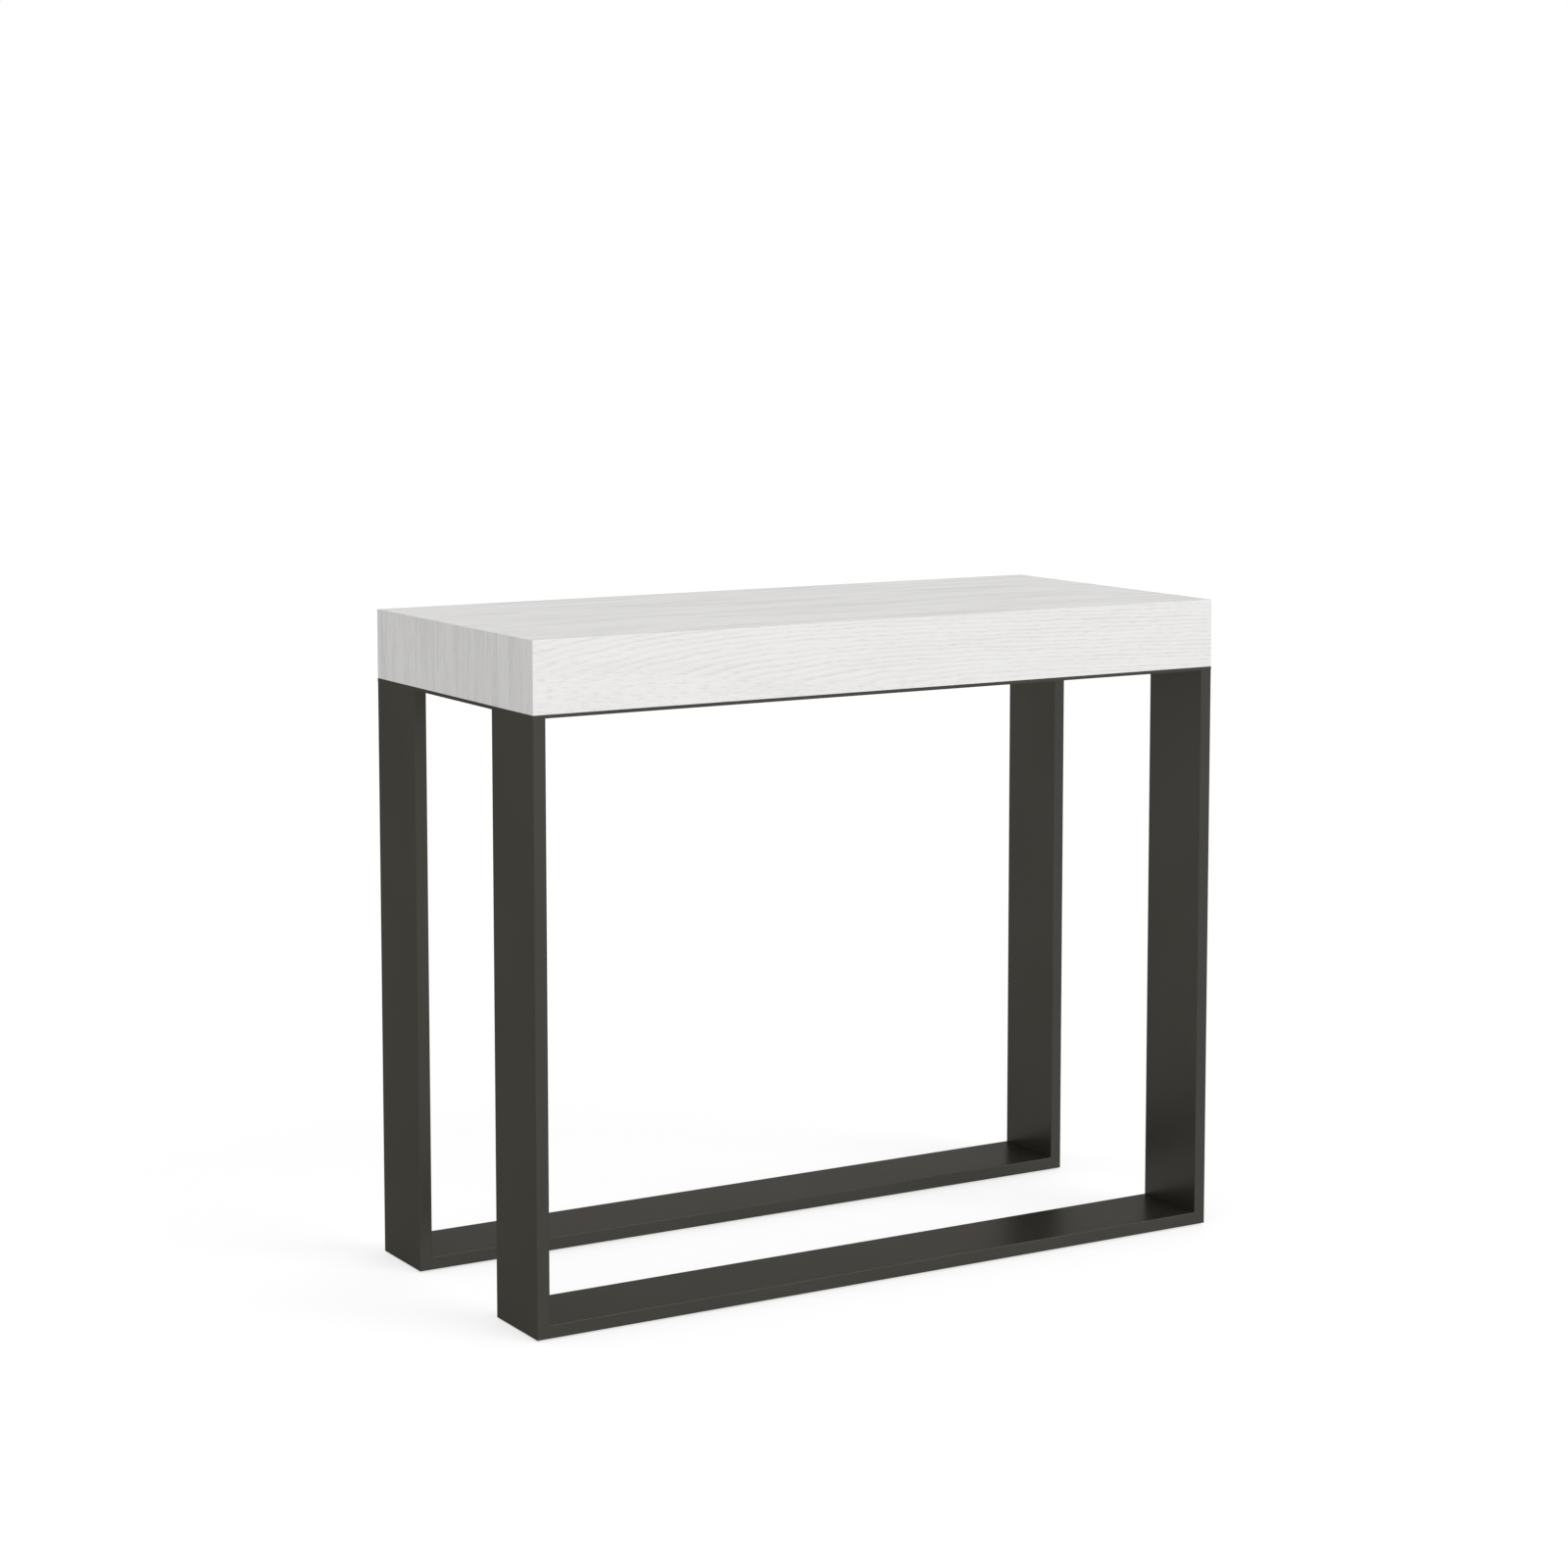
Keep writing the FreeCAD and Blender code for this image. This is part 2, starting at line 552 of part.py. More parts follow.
def pivots(room=0):
    """Shoulder screws in the front top panel, round where the levers turn on them."""
    foot, neck = LEVER_BOTTOM - LATCH_PLAY - PIVOT_HEAD, LEVER_THICKNESS + 2 * LATCH_PLAY
    solids = []
    for side in (LEFT, RIGHT):
        place = FreeCAD.Vector(side * LATCH_OFFSET, -LATCH_SETBACK, foot)
        shoulder = Part.makeCylinder(PIVOT_DIAMETER / 2, neck, place + PIVOT_HEAD * UP)
        solids.append(faceted(pivot_profile(room), place, UP, PIN_SIDES).fuse(shoulder))
    return solids


def studs(room=0):
    """Studs in the rear top panel."""
    foot = LEVER_BOTTOM - STUD_PAST_LEVER
    places = [FreeCAD.Vector(side * LATCH_OFFSET, LATCH_SETBACK, foot) for side in (LEFT, RIGHT)]
    return [faceted(stud_profile(room), place, UP, PIN_SIDES) for place in places]


def latch_screws(half, room=0):
    return pivots(room) if half == FRONT else studs(room)


def ring_sector(inner, outer, start, sweep, low, high):
    """Part of a flat ring about the Z axis, from an angle in degrees."""
    sector = Part.makeCylinder(outer, high - low, FreeCAD.Vector(0, 0, low), UP, sweep)
    sector = sector.cut(Part.makeCylinder(inner, high - low, FreeCAD.Vector(0, 0, low)))
    sector.rotate(FreeCAD.Vector(), UP, start)
    return sector


def latch_lever(side):
    """A hooked lever, resting unhooked towards the middle; it swings its hook round the rear stud."""
    low, high = LEVER_BOTTOM, LEVER_TOP
    hook_outer = LEVER_REACH + LEVER_HOOK_MARGIN
    slot_half = STUD_DIAMETER / 2 + LEVER_SLOT_CLEARANCE
    hub = Part.makeCylinder(LEVER_HUB_DIAMETER / 2, LEVER_THICKNESS, FreeCAD.Vector(0, 0, low))
    arm = block(0, LEVER_REACH - slot_half, -LEVER_ARM / 2, LEVER_ARM / 2, low, high)
    hook = ring_sector(LEVER_REACH - LEVER_HOOK_MARGIN, hook_outer, -LEVER_HEEL_ANGLE,
                       LEVER_HEEL_ANGLE + LEVER_MOUTH_ANGLE, low, high)
    tab = block(hook_outer - LEVER_TAB_THICKNESS, hook_outer, -LEVER_ARM / 2, 0, low - LEVER_TAB_DROP, low)
    lever = hub.fuse([arm, hook, tab])
    slot = ring_sector(LEVER_REACH - slot_half, LEVER_REACH + slot_half, 0, 2 * LEVER_MOUTH_ANGLE, low, high)
    slot = slot.fuse(Part.makeCylinder(slot_half, LEVER_THICKNESS, FreeCAD.Vector(LEVER_REACH, 0, low)))
    bore = Part.makeCylinder(PIVOT_DIAMETER / 2 + FIT, LEVER_THICKNESS, FreeCAD.Vector(0, 0, low))
    lever = lever.cut(slot).cut(bore).removeSplitter()
    if side == RIGHT:
        lever = lever.mirror(FreeCAD.Vector(), FreeCAD.Vector(1, 0, 0))
    lever.translate(FreeCAD.Vector(side * LATCH_OFFSET, -LATCH_SETBACK, 0))
    return lever


def build_half(half):
    name = HALF_NAMES[half]
    hull = eased_half_box(half)
    save(name + "_top_panel", top_panel(half, hull))
    save(name + "_apron", apron(half, hull))
    save(name + "_plate", frame_plate(half))
    save(name + "_plate_screws", *plate_screws(half))
    save(name + "_floor_rail", floor_rail(half))
    save(name + "_glides", *glides(half))
    for side, side_name in SIDE_NAMES.items():
        save(name + "_" + side_name + "_end", end_panel(half, side, hull))
        save(name + "_" + side_name + "_leg", leg(half, side))


def build_rails():
    for side, side_name in SIDE_NAMES.items():
        save("rear_" + side_name + "_rail", rail(0, side))
        save("front_" + side_name + "_rail", rail(FRONT_STAGE, side))
    save("rear_rail_screws", *rail_screws(REAR))
    save("rear_stop_rivets", *[stop_rivet(0, side) for side in SIDE_NAMES])
    save("front_rail_screws", *rail_screws(FRONT))
    save("front_shoes", *shoes(FRONT_STAGE))
    for stage in range(1, FRONT_STAGE):
        name = "stage_" + str(stage)
        for side, side_name in SIDE_NAMES.items():
            save(name + "_" + side_name + "_rail", rail(stage, side))
        save(name + "_shoes", *shoes(stage))
        save(name + "_crossbar", crossbar(stage))
        save(name + "_fasteners", *bar_screws(stage), *[stop_rivet(stage, side) for side in SIDE_NAMES])


def build_latches():
    save("alignment_dowels", *dowels())
    save("latch_pivots", *pivots())
    save("latch_studs", *studs())
    for side, side_name in SIDE_NAMES.items():
        save(side_name + "_latch_lever", latch_lever(side))


os.makedirs("parts", exist_ok=True)
build_half(FRONT)
build_half(REAR)
build_rails()
build_latches()
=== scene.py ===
"""Finishes, fixings and studio of an extending console table, laid out as a Blender add-on.

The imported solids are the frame. Boards, steel frames, rails, shoes, crossbars and levers keep their solids
and get finishes here. Screws, rivets, glides, dowels and latch pins are modelled anew in their places.
Lengths are in metres: X runs along the table, Y towards the back and Z up from the floor.
"""

import json
import math

import bmesh
import bpy
from bpy.props import FloatProperty, FloatVectorProperty, IntProperty, PointerProperty
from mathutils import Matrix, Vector

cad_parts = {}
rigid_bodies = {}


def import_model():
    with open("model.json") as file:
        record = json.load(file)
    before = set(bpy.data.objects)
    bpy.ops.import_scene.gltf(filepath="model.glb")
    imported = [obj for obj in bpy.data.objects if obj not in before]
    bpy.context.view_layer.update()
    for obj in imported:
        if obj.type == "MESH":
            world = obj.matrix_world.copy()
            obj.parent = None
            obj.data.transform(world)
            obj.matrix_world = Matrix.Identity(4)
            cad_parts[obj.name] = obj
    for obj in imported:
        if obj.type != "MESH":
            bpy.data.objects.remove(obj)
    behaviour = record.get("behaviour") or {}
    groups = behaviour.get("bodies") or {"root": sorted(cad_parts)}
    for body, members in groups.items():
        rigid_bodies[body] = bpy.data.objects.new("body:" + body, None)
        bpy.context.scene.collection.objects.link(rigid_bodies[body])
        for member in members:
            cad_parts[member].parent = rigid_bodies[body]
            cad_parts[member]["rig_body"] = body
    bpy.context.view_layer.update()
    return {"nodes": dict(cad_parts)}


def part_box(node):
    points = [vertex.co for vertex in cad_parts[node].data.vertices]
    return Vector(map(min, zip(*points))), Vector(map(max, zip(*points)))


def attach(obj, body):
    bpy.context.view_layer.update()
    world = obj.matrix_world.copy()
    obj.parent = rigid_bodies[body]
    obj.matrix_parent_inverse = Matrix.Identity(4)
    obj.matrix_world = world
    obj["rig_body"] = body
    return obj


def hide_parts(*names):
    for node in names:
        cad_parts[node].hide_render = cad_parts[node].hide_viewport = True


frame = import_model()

bl_info = {
    "name": "Extending console table",
    "version": (1, 0, 0),
    "blender": (4, 5, 0),
    "location": "View3D > Sidebar > Console",
    "description": "Finishes, fixings and studio for an extending console table",
    "category": "Object",
}

MM = 0.001
SAME_PLACE = 0.01 * MM
SMOOTH_ANGLE = math.radians(35)
QUARTER_TURN = math.pi / 2
UNTURNED = (0, 0, 0)
STAGES = (1, 2, 3, 4, 5)
HALVES = ("front", "rear")

# Turned profiles: the radius as a share of the piece's own, the height as a share of the form's
DOME_SHARES = ((0.35, -1), (0.68, -0.72), (0.9, -0.34), (1, -0.08), (1, 0))
RIVET_HEAD_SHARES = ((0.3, 0), (0.62, 0.16), (0.86, 0.45), (1, 0.85), (1, 1))
GLIDE_SHARES = ((0.1, 0.3), (0.16, 0.25), (0.2, 0), (0.9, 0), (0.965, 0.08), (1, 0.32), (1, 1))

# Turned profiles: the radius as a share, the height in millimetres from the end that the form starts at
PAN_HEAD = ((0.55, 0), (0.8, 0.22), (0.95, 0.75), (1, 1.4))
PIVOT_HEAD = ((0.72, 0), (0.88, 0.25), (0.97, 0.8), (1, 1.4))
STUD_HEAD = ((0.72, 0), (0.92, 0.3), (1, 1.1))
DOWEL_NOSE = ((0.62, 0), (0.86, 0.6), (1, 1.7))
WOOD_SCREW_TIP = ((0.1, 0), (0.5, 1.2), (1, 4))
MACHINE_SCREW_END = ((0.8, 0), (1, 0.5))
RIVET_END = ((0.84, 0), (1, 0.4))
PIN_END = ((0.7, 0), (1, 0.8))

RIM_CHAMFER = 0.1 * MM
RECESS_TAPER = (0.45, 0.6, 1)  # a cross recess's floor as shares of its mouth
TRIANGLE_HEIGHT = 1.5  # of a triangle in a circle of radius 1
TRIANGLE_SIDE = math.sqrt(3)
THREAD_ROOT_SHARE = 0.7  # of the core's radius
THREAD_FOOT_SHARE = 0.5  # of the pitch
THREAD_STEPS = 16
THREAD_TIP_GAP = 3 * MM
PLATE_THREAD_START = 5 * MM
RAIL_THREAD_GAP = 3 * MM
FLANGE = 3 * MM
FLUTE_POINTS = 3
FLUTE_TOLERANCE = 0.1  # of the turn from one flute to the next
FULL_WIDTH_SHARE = 0.95  # of the dowel's radius
LATCH_PLAY = 0.15 * MM
LEVER_ROOM = 3.3 * MM
PIVOT_SOCKET_DEPTH = 2.2 * MM
STUD_SOCKET_DEPTH = 1.8 * MM
STUD_SOCKET_SHARE = 0.62  # of the pivot's socket

# Noise: features to the metre along the grain and twice across it, then the noise's detail
SWEEP_NOISE = ((1.7, 10, 10), 1.0)
RIPPLE_NOISE = ((17, 75, 75), 1.0)
FADE_NOISE = ((4.5, 30, 30), 2.0)
FLECK_NOISE = ((60, 420, 420), 1.0)
PORE_NOISE = ((75, 700, 700), 1.0)
FIBRE_NOISE = ((40, 330, 330), 3.0)
BAND_NOISE = ((5, 80, 80), 4.0)
PATCH_NOISE = ((7, 7, 7), 3.0)
DRAWN_NOISE = ((6, 2600, 2600), 2.0)
SMUDGE_NOISE = ((9, 26, 26), 3.0)
GRAIN_DETAIL = 2.0
MIDDLE = 0.5  # of a noise's range

# Ramps: where they start and end, then the values there, which are 0 and 1 where none are given
FACE_RAMP = (0.25, 0.65, 0.15, 1.0)
EARLY_RAMP = (0.0, 0.6, 1.0, 0.0)
LATE_RAMP = (0.86, 1.0)
FADE_RAMP = (0.3, 0.7, 0.55, 1.0)
FLECK_RAMP = (0.35, 0.65, 0.45, 1.0)
YEAR_RAMP = (0.0, 1.0, 0.55, 1.0)
PORE_RAMP = (0.5, 0.66)
PORE_SPREAD = (0.6, 0.4)  # share of the pores in open grain, and all over
BAND_RAMP = (0.25, 0.75)
PATCH_RAMP = (0.3, 0.7)

# Turns in degrees that lay a finish's lines along an axis
ALONG_X = (0, 0, 0)
ALONG_Y = (0, 0, 90)
ALONG_Z = (0, 90, 0)

# White ash: the grain's turn in degrees, the heart's place, the heart's bow, the bands' share and the boards
ASH_BOARDS = {
    "white_ash_top": ((90, 0.4, 1.1), (0.2, 0.68, 0.33), 0.03, 0.7, ("_top_panel",)),
    "white_ash_front": ((0, -1.5, 0), (-0.36, 0.2, -0.68), 0.11, 0.2, ("front_apron",)),
    "white_ash_rear": ((0, 1.2, 180), (-0.1, 0.2, -0.66), 0.07, 0.2, ("rear_apron",)),
    "white_ash_end": ((90, 1.0, 90), (-0.7, 0, 0.9), 0.05, 0.55, ("_left_end", "_right_end")),
}
LINE_SHARE = 0.52
PORE_SHARE = 0.3
FIBRE_SHARE = 0.4
PORE_ROUGHNESS = 0.14
LINE_DEPTH_SHARE = 0.4
ASH_SPECULAR = 0.12

# Roughness: how much the texture adds, and the least. Relief: its height, and its strength
PAINT_GRAINS = 900.0
PAINT_ROUGHNESS = (0.08, 0.28)
PAINT_METALLIC = 0.66
PAINT_EDGE_TINT = (0.335, 0.32, 0.305, 1)
PAINT_SPECULAR = 0.09
PEEL_STRENGTH = 0.3
ALUMINIUM_ROUGHNESS = (0.08, 0.42)
ALUMINIUM_RELIEF = (0.01 * MM, 0.5)
ZINC_ROUGHNESS = (0.2, 0.28)
ZINC_RELIEF = (0.008 * MM, 0.4)
SHOE_GRAINS = 1500.0
GLIDE_GRAINS = 2200.0
NYLON_ROUGHNESS = (0.2, 0.4)
NYLON_RELIEF = (0.03 * MM, 0.5)
NYLON_SPECULAR = 0.4
BEECH_HEART = (0, 0, -0.7)
BEECH_GRAIN = {"Bow": 0.0, "Spacing": 1.6 * MM, "Sweep": 4 * MM, "Ripple": 0.8 * MM}
BEECH_PORE_SHARE = 0.5
BEECH_LINE_SHARE = 0.4
BEECH_ROUGHNESS = (0.2, 0.5)
BEECH_RELIEF = (0.05 * MM, 0.5)

FLOOR_LEVEL = 1.06  # brightness of the open floor, just over white
FLOOR_LIGHT = 0.86  # light that falls on the open floor
LAMP_DISTANCE = 6
WHITE = (1, 1, 1, 1)


def colour(name, description, default):
    return FloatVectorProperty(name=name, description=description, subtype="COLOR", size=3, min=0, max=1,
                               default=default)


def length(name, description, millimetres):
    return FloatProperty(name=name, description=description, unit="LENGTH", min=0, precision=5,
                         default=millimetres * MM)


def angle(name, description, degrees):
    return FloatProperty(name=name, description=description, subtype="ANGLE", default=math.radians(degrees))


def share(name, description, default):
    return FloatProperty(name=name, description=description, subtype="FACTOR", min=0, max=1, default=default)


class BoardFinish(bpy.types.PropertyGroup):
    """The white ash facing of the boards."""

    ash: colour("Ash", "Ground colour of the facing", (0.832, 0.826, 0.812))
    ash_line: colour("Ash line", "Colour of the growth lines and pores", (0.60, 0.592, 0.574))
    line_spacing: length("Line spacing", "Distance between growth lines", 4.8)
    line_sweep: length("Line sweep", "Slow wander of the growth lines", 8)
    line_ripple: length("Line ripple", "Short waves in the growth lines", 4.5)
    pore_depth: length("Pore depth", "Depth of the pressed pores", 0.06)
    roughness: share("Roughness", "Roughness of the matt facing", 0.6)


class HardwareFinish(bpy.types.PropertyGroup):
    """Colours of the metal, nylon and dowels."""

    paint: colour("Paint", "Anthracite powder coat", (0.056, 0.0542, 0.0466))
    paint_patch: colour("Paint patch", "Slightly paler patches of the powder coat", (0.0595, 0.0577, 0.0501))
    peel_height: length("Peel height", "Height of the powder coat's orange peel", 0.012)
    aluminium: colour("Aluminium", "Anodised rails", (0.51, 0.51, 0.52))
    aluminium_line: colour("Aluminium line", "Drawing lines of the rails", (0.43, 0.43, 0.44))
    zinc: colour("Zinc", "Zinc plated steel", (0.50, 0.508, 0.52))
    zinc_patch: colour("Zinc patch", "Duller patches of the zinc", (0.44, 0.448, 0.46))
    nylon: colour("Nylon", "Black nylon of shoes and glides", (0.018, 0.018, 0.019))
    nylon_patch: colour("Nylon patch", "Paler flow marks in the nylon", (0.030, 0.030, 0.031))
    beech: colour("Beech", "Ground colour of the dowels", (0.62, 0.43, 0.26))
    beech_fleck: colour("Beech fleck", "Flecks and lines of the dowels", (0.42, 0.26, 0.14))


class FixingSizes(bpy.types.PropertyGroup):
    """Sizes of the screws, rivets, glides, dowels and latch pins."""

    sides: IntProperty(name="Sides", description="Sides of a turned piece", min=12, max=96, default=40)
    head_dome: length("Head dome", "Height of a raised countersunk head", 0.6)
    head_lap: length("Head lap", "How far a countersunk head laps its hole", 0.2)
    recess_reach: length("Recess reach", "From the middle of a cross recess to a wing's end", 2.3)
    recess_width: length("Recess width", "Width of a cross recess's wing", 0.95)
    recess_depth: length("Recess depth", "Depth of a cross recess", 1.7)
    core_diameter: length("Core diameter", "Wood screw inside its thread", 2.7)
    thread_diameter: length("Thread diameter", "Wood screw over its thread", 4)
    thread_pitch: length("Thread pitch", "Rise of the wood thread in a turn", 1.8)
    shank_diameter: length("Shank diameter", "Machine screw", 4)
    stop_diameter: length("Stop diameter", "Stop rivet's shank", 5)
    stop_head: length("Stop head", "Height of the stop rivet's head", 1.5)
    dowel_flutes: IntProperty(name="Dowel flutes", description="Glue grooves round a dowel", min=6, max=30,
                              default=16)
    dowel_clearance: length("Dowel clearance", "Between a dowel and its hole's flats", 0.15)
    flute_depth: length("Flute depth", "Depth of a glue groove", 0.35)
    pin_diameter: length("Pin diameter", "Shoulder that a latch turns on or hooks", 8)
    pin_shank: length("Pin shank", "Latch pin's shank in the board", 5)
    socket_reach: length("Socket reach", "From the middle of a hexagon socket to its corner", 2.9)


class StudioSettings(bpy.types.PropertyGroup):
    """Camera, lamp and floor."""

    camera_place: FloatVectorProperty(name="Camera place", description="Where the camera stands",
                                      subtype="XYZ", unit="LENGTH", size=3,
                                      default=(-2.0467, -3.4033, 1.1395))
    camera_pitch: angle("Camera pitch", "How far the camera looks down", 5.847)
    camera_yaw: angle("Camera yaw", "How far the camera turns to the right", 30.879)
    lens: FloatProperty(name="Lens", description="Focal length", subtype="DISTANCE_CAMERA", default=78.242)
    shift: FloatVectorProperty(name="Shift", description="Lens shift as a share of the picture", size=2,
                               default=(-0.00518, -0.1))
    sky: FloatProperty(name="Sky", description="Strength of the even light from all round", min=0,
                       default=0.64)
    sun: FloatProperty(name="Sun", description="Strength of the soft lamp", min=0, default=1.375)
    sun_from: FloatVectorProperty(name="Sun from", description="Direction that the soft lamp shines from",
                                  subtype="DIRECTION", size=3, default=(0.15, -0.355, 0.208))
    sun_spread: angle("Sun spread", "Apparent size of the soft lamp", 50)
    floor_size: FloatProperty(name="Floor size", description="Side of the floor", unit="LENGTH", default=60)
    floor_drop: length("Floor drop", "Gap that keeps the floor clear of the glides' faces", 0.2)
    floor: colour("Floor", "Colour of the floor in the light that it throws back", (0.8, 0.8, 0.8))
    shadow: share("Shadow", "How much the floor shows of the table's shadow", 0.45)


# Selecting and shaping

def pick(*pieces):
    """Selects these objects alone."""
    bpy.ops.object.select_all(action="DESELECT")
    for piece in pieces:
        piece.select_set(True)
    bpy.context.view_layer.objects.active = pieces[0]


def edit(piece):
    """Opens a piece in edit mode with all of it selected."""
    pick(piece)
    bpy.ops.object.mode_set(mode="EDIT")
    bpy.ops.mesh.select_all(action="SELECT")


def close_edit():
    """Merges doubles, turns the faces outwards and leaves edit mode."""
    bpy.ops.mesh.select_all(action="SELECT")
    bpy.ops.mesh.remove_doubles(threshold=SAME_PLACE)
    bpy.ops.mesh.normals_make_consistent(inside=False)
    bpy.ops.object.mode_set(mode="OBJECT")


def pick_points(test):
    """In edit mode, selects the points whose place passes the test."""
    mesh = bmesh.from_edit_mesh(bpy.context.object.data)
    bpy.ops.mesh.select_all(action="DESELECT")
    for point in mesh.verts:
        point.select_set(test(point.co))
    mesh.select_flush(True)
    bmesh.update_edit_mesh(bpy.context.object.data)


def added(primitive, **settings):
    """A new primitive, selected alone, with its place and size in its mesh."""
    bpy.ops.object.select_all(action="DESELECT")
    primitive(**settings)
    bpy.ops.object.transform_apply(location=True, rotation=True, scale=True)
    return bpy.context.object


def formed(shares, width, height):
    """Points of a turned form, from shares of a width and a height."""
    return [(part * width, rise * height) for part, rise in shares]


def ended(shares, width, end):
    """Points of a form that closes at a height, from its start up to that end."""
    return [(part * width, end - rise * MM) for part, rise in reversed(shares)]


def raised_head(head, neck, sizes):
    """A raised countersunk head, from its dome to the neck, round the height where its rim lies."""
    dome = formed(DOME_SHARES, head + sizes.head_lap, sizes.head_dome)
    return dome + [(head - RIM_CHAMFER, RIM_CHAMFER), (neck, head - neck)]


def turned(profile, sides):
    """A turned piece on the Z axis: a disc drawn up through (radius, height) points in metres."""
    radius, height = profile[0]
    piece = added(bpy.ops.mesh.primitive_circle_add, vertices=sides, radius=radius, fill_type="NGON",
                  location=(0, 0, height))
    edit(piece)
    for (radius, height), (next_radius, next_height) in zip(profile, profile[1:]):
        bpy.ops.mesh.extrude_region_move(TRANSFORM_OT_translate={"value": (0, 0, next_height - height)})
        growth = next_radius / radius
        bpy.ops.transform.resize(value=(growth, growth, 1), center_override=(0, 0, next_height))
    close_edit()
    return piece


def combine(piece, tool, operation):
    """Cuts a tool out of a piece or joins it on, and removes the tool."""
    pick(piece)
    change = piece.modifiers.new("Combine", "BOOLEAN")
    change.operation = operation
    change.solver = "EXACT"
    change.use_self = True
    change.object = tool
    bpy.ops.object.modifier_apply(modifier=change.name)
    bpy.data.objects.remove(tool)


def cut_cross(piece, sizes):
    """Presses a tapered cross recess into a head that faces down."""
    depth = sizes.recess_depth
    tool = added(bpy.ops.mesh.primitive_cube_add, size=2,
                 scale=(sizes.recess_reach, sizes.recess_width / 2, depth))
    edit(tool)
    pick_points(lambda place: place.z > 0)
    bpy.ops.transform.resize(value=RECESS_TAPER, center_override=(0, 0, depth))
    bpy.ops.mesh.select_all(action="SELECT")
    bpy.ops.mesh.duplicate()
    bpy.ops.transform.rotate(value=QUARTER_TURN, orient_axis="Z", center_override=(0, 0, 0))
    close_edit()
    combine(piece, tool, "DIFFERENCE")


def cut_socket(piece, reach, depth):
    """Presses a hexagon socket into a head that faces down."""
    tool = added(bpy.ops.mesh.primitive_cylinder_add, vertices=6, radius=reach, depth=2 * depth)
    combine(piece, tool, "DIFFERENCE")


def add_thread(piece, start, end, sizes):
    """Winds a thread round a wood screw's core between two heights."""
    root, crest = THREAD_ROOT_SHARE * sizes.core_diameter / 2, sizes.thread_diameter / 2
    out = (crest - root) / TRIANGLE_HEIGHT
    up = THREAD_FOOT_SHARE * sizes.thread_pitch / TRIANGLE_SIDE
    thread = added(bpy.ops.mesh.primitive_circle_add, vertices=3, radius=1,
                   rotation=(-QUARTER_TURN, -QUARTER_TURN, 0))
    edit(thread)
    bpy.ops.transform.resize(value=(out, 1, up), center_override=(0, 0, 0))
    bpy.ops.transform.translate(value=(crest - out, 0, start))
    bpy.ops.object.mode_set(mode="OBJECT")
    winding = thread.modifiers.new("Winding", "SCREW")
    winding.axis = "Z"
    winding.angle = math.tau
    winding.screw_offset = sizes.thread_pitch
    winding.iterations = int((end - start) / sizes.thread_pitch)
    winding.steps = winding.render_steps = THREAD_STEPS
    bpy.ops.object.modifier_apply(modifier=winding.name)
    edit(thread)
    bpy.ops.mesh.remove_doubles(threshold=SAME_PLACE)
    bpy.ops.mesh.fill_holes(sides=3)
    close_edit()
    combine(piece, thread, "UNION")


def solid_boxes(node):
    """The lowest and highest corner of each separate solid in a node."""
    pick(frame["nodes"][node])
    bpy.ops.object.duplicate()
    bpy.ops.object.mode_set(mode="EDIT")
    bpy.ops.mesh.select_all(action="SELECT")
    bpy.ops.mesh.remove_doubles(threshold=SAME_PLACE)
    bpy.ops.mesh.separate(type="LOOSE")
    bpy.ops.object.mode_set(mode="OBJECT")
    corners = [[Vector(corner) for corner in solid.bound_box] for solid in bpy.context.selected_objects]
    bpy.ops.object.delete()
    boxes = [(Vector(map(min, *points)), Vector(map(max, *points))) for points in corners]
    return sorted(boxes, key=lambda box: tuple(box[0]))


def half_boxes(ending):
    """The solids' boxes of the front and the rear node with this ending."""
    return {half + ending: solid_boxes(half + ending) for half in HALVES}


def girth(box):
    """Half a box's width along X, and its height."""
    low, high = box
    return (high.x - low.x) / 2, high.z - low.z


def middle(box):
    low, high = box
    return (low + high) / 2


def copies(pattern, places):
    """A copy of the pattern at each (place, turn), with its place in its mesh."""
    made = []
    for place, turn in places:
        pick(pattern)
        bpy.ops.object.duplicate()
        copy = bpy.context.object
        copy.location, copy.rotation_euler = place, turn
        bpy.ops.object.transform_apply(location=True, rotation=True, scale=True)
        made.append(copy)
    return made


def upright(pattern, boxes):
    """A copy of the pattern that stands on the middle of each box's underside."""
    return copies(pattern, [((middle(box).x, middle(box).y, box[0].z), UNTURNED) for box in boxes])


def stand_in(pieces, node, finish):
    """Joins copies into one set that stands for a node and rides where the node does."""
    pick(*pieces)
    if len(pieces) > 1:
        bpy.ops.object.join()
    piece = bpy.context.object
    piece.name = piece.data.name = node + "_set"
    bpy.ops.object.shade_smooth_by_angle(angle=SMOOTH_ANGLE)
    piece.data.materials.clear()
    piece.data.materials.append(finish)
    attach(piece, frame["nodes"][node]["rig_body"])
    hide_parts(node)


def remove(*patterns):
    for pattern in patterns:
        bpy.data.objects.remove(pattern)


# Shader nodes

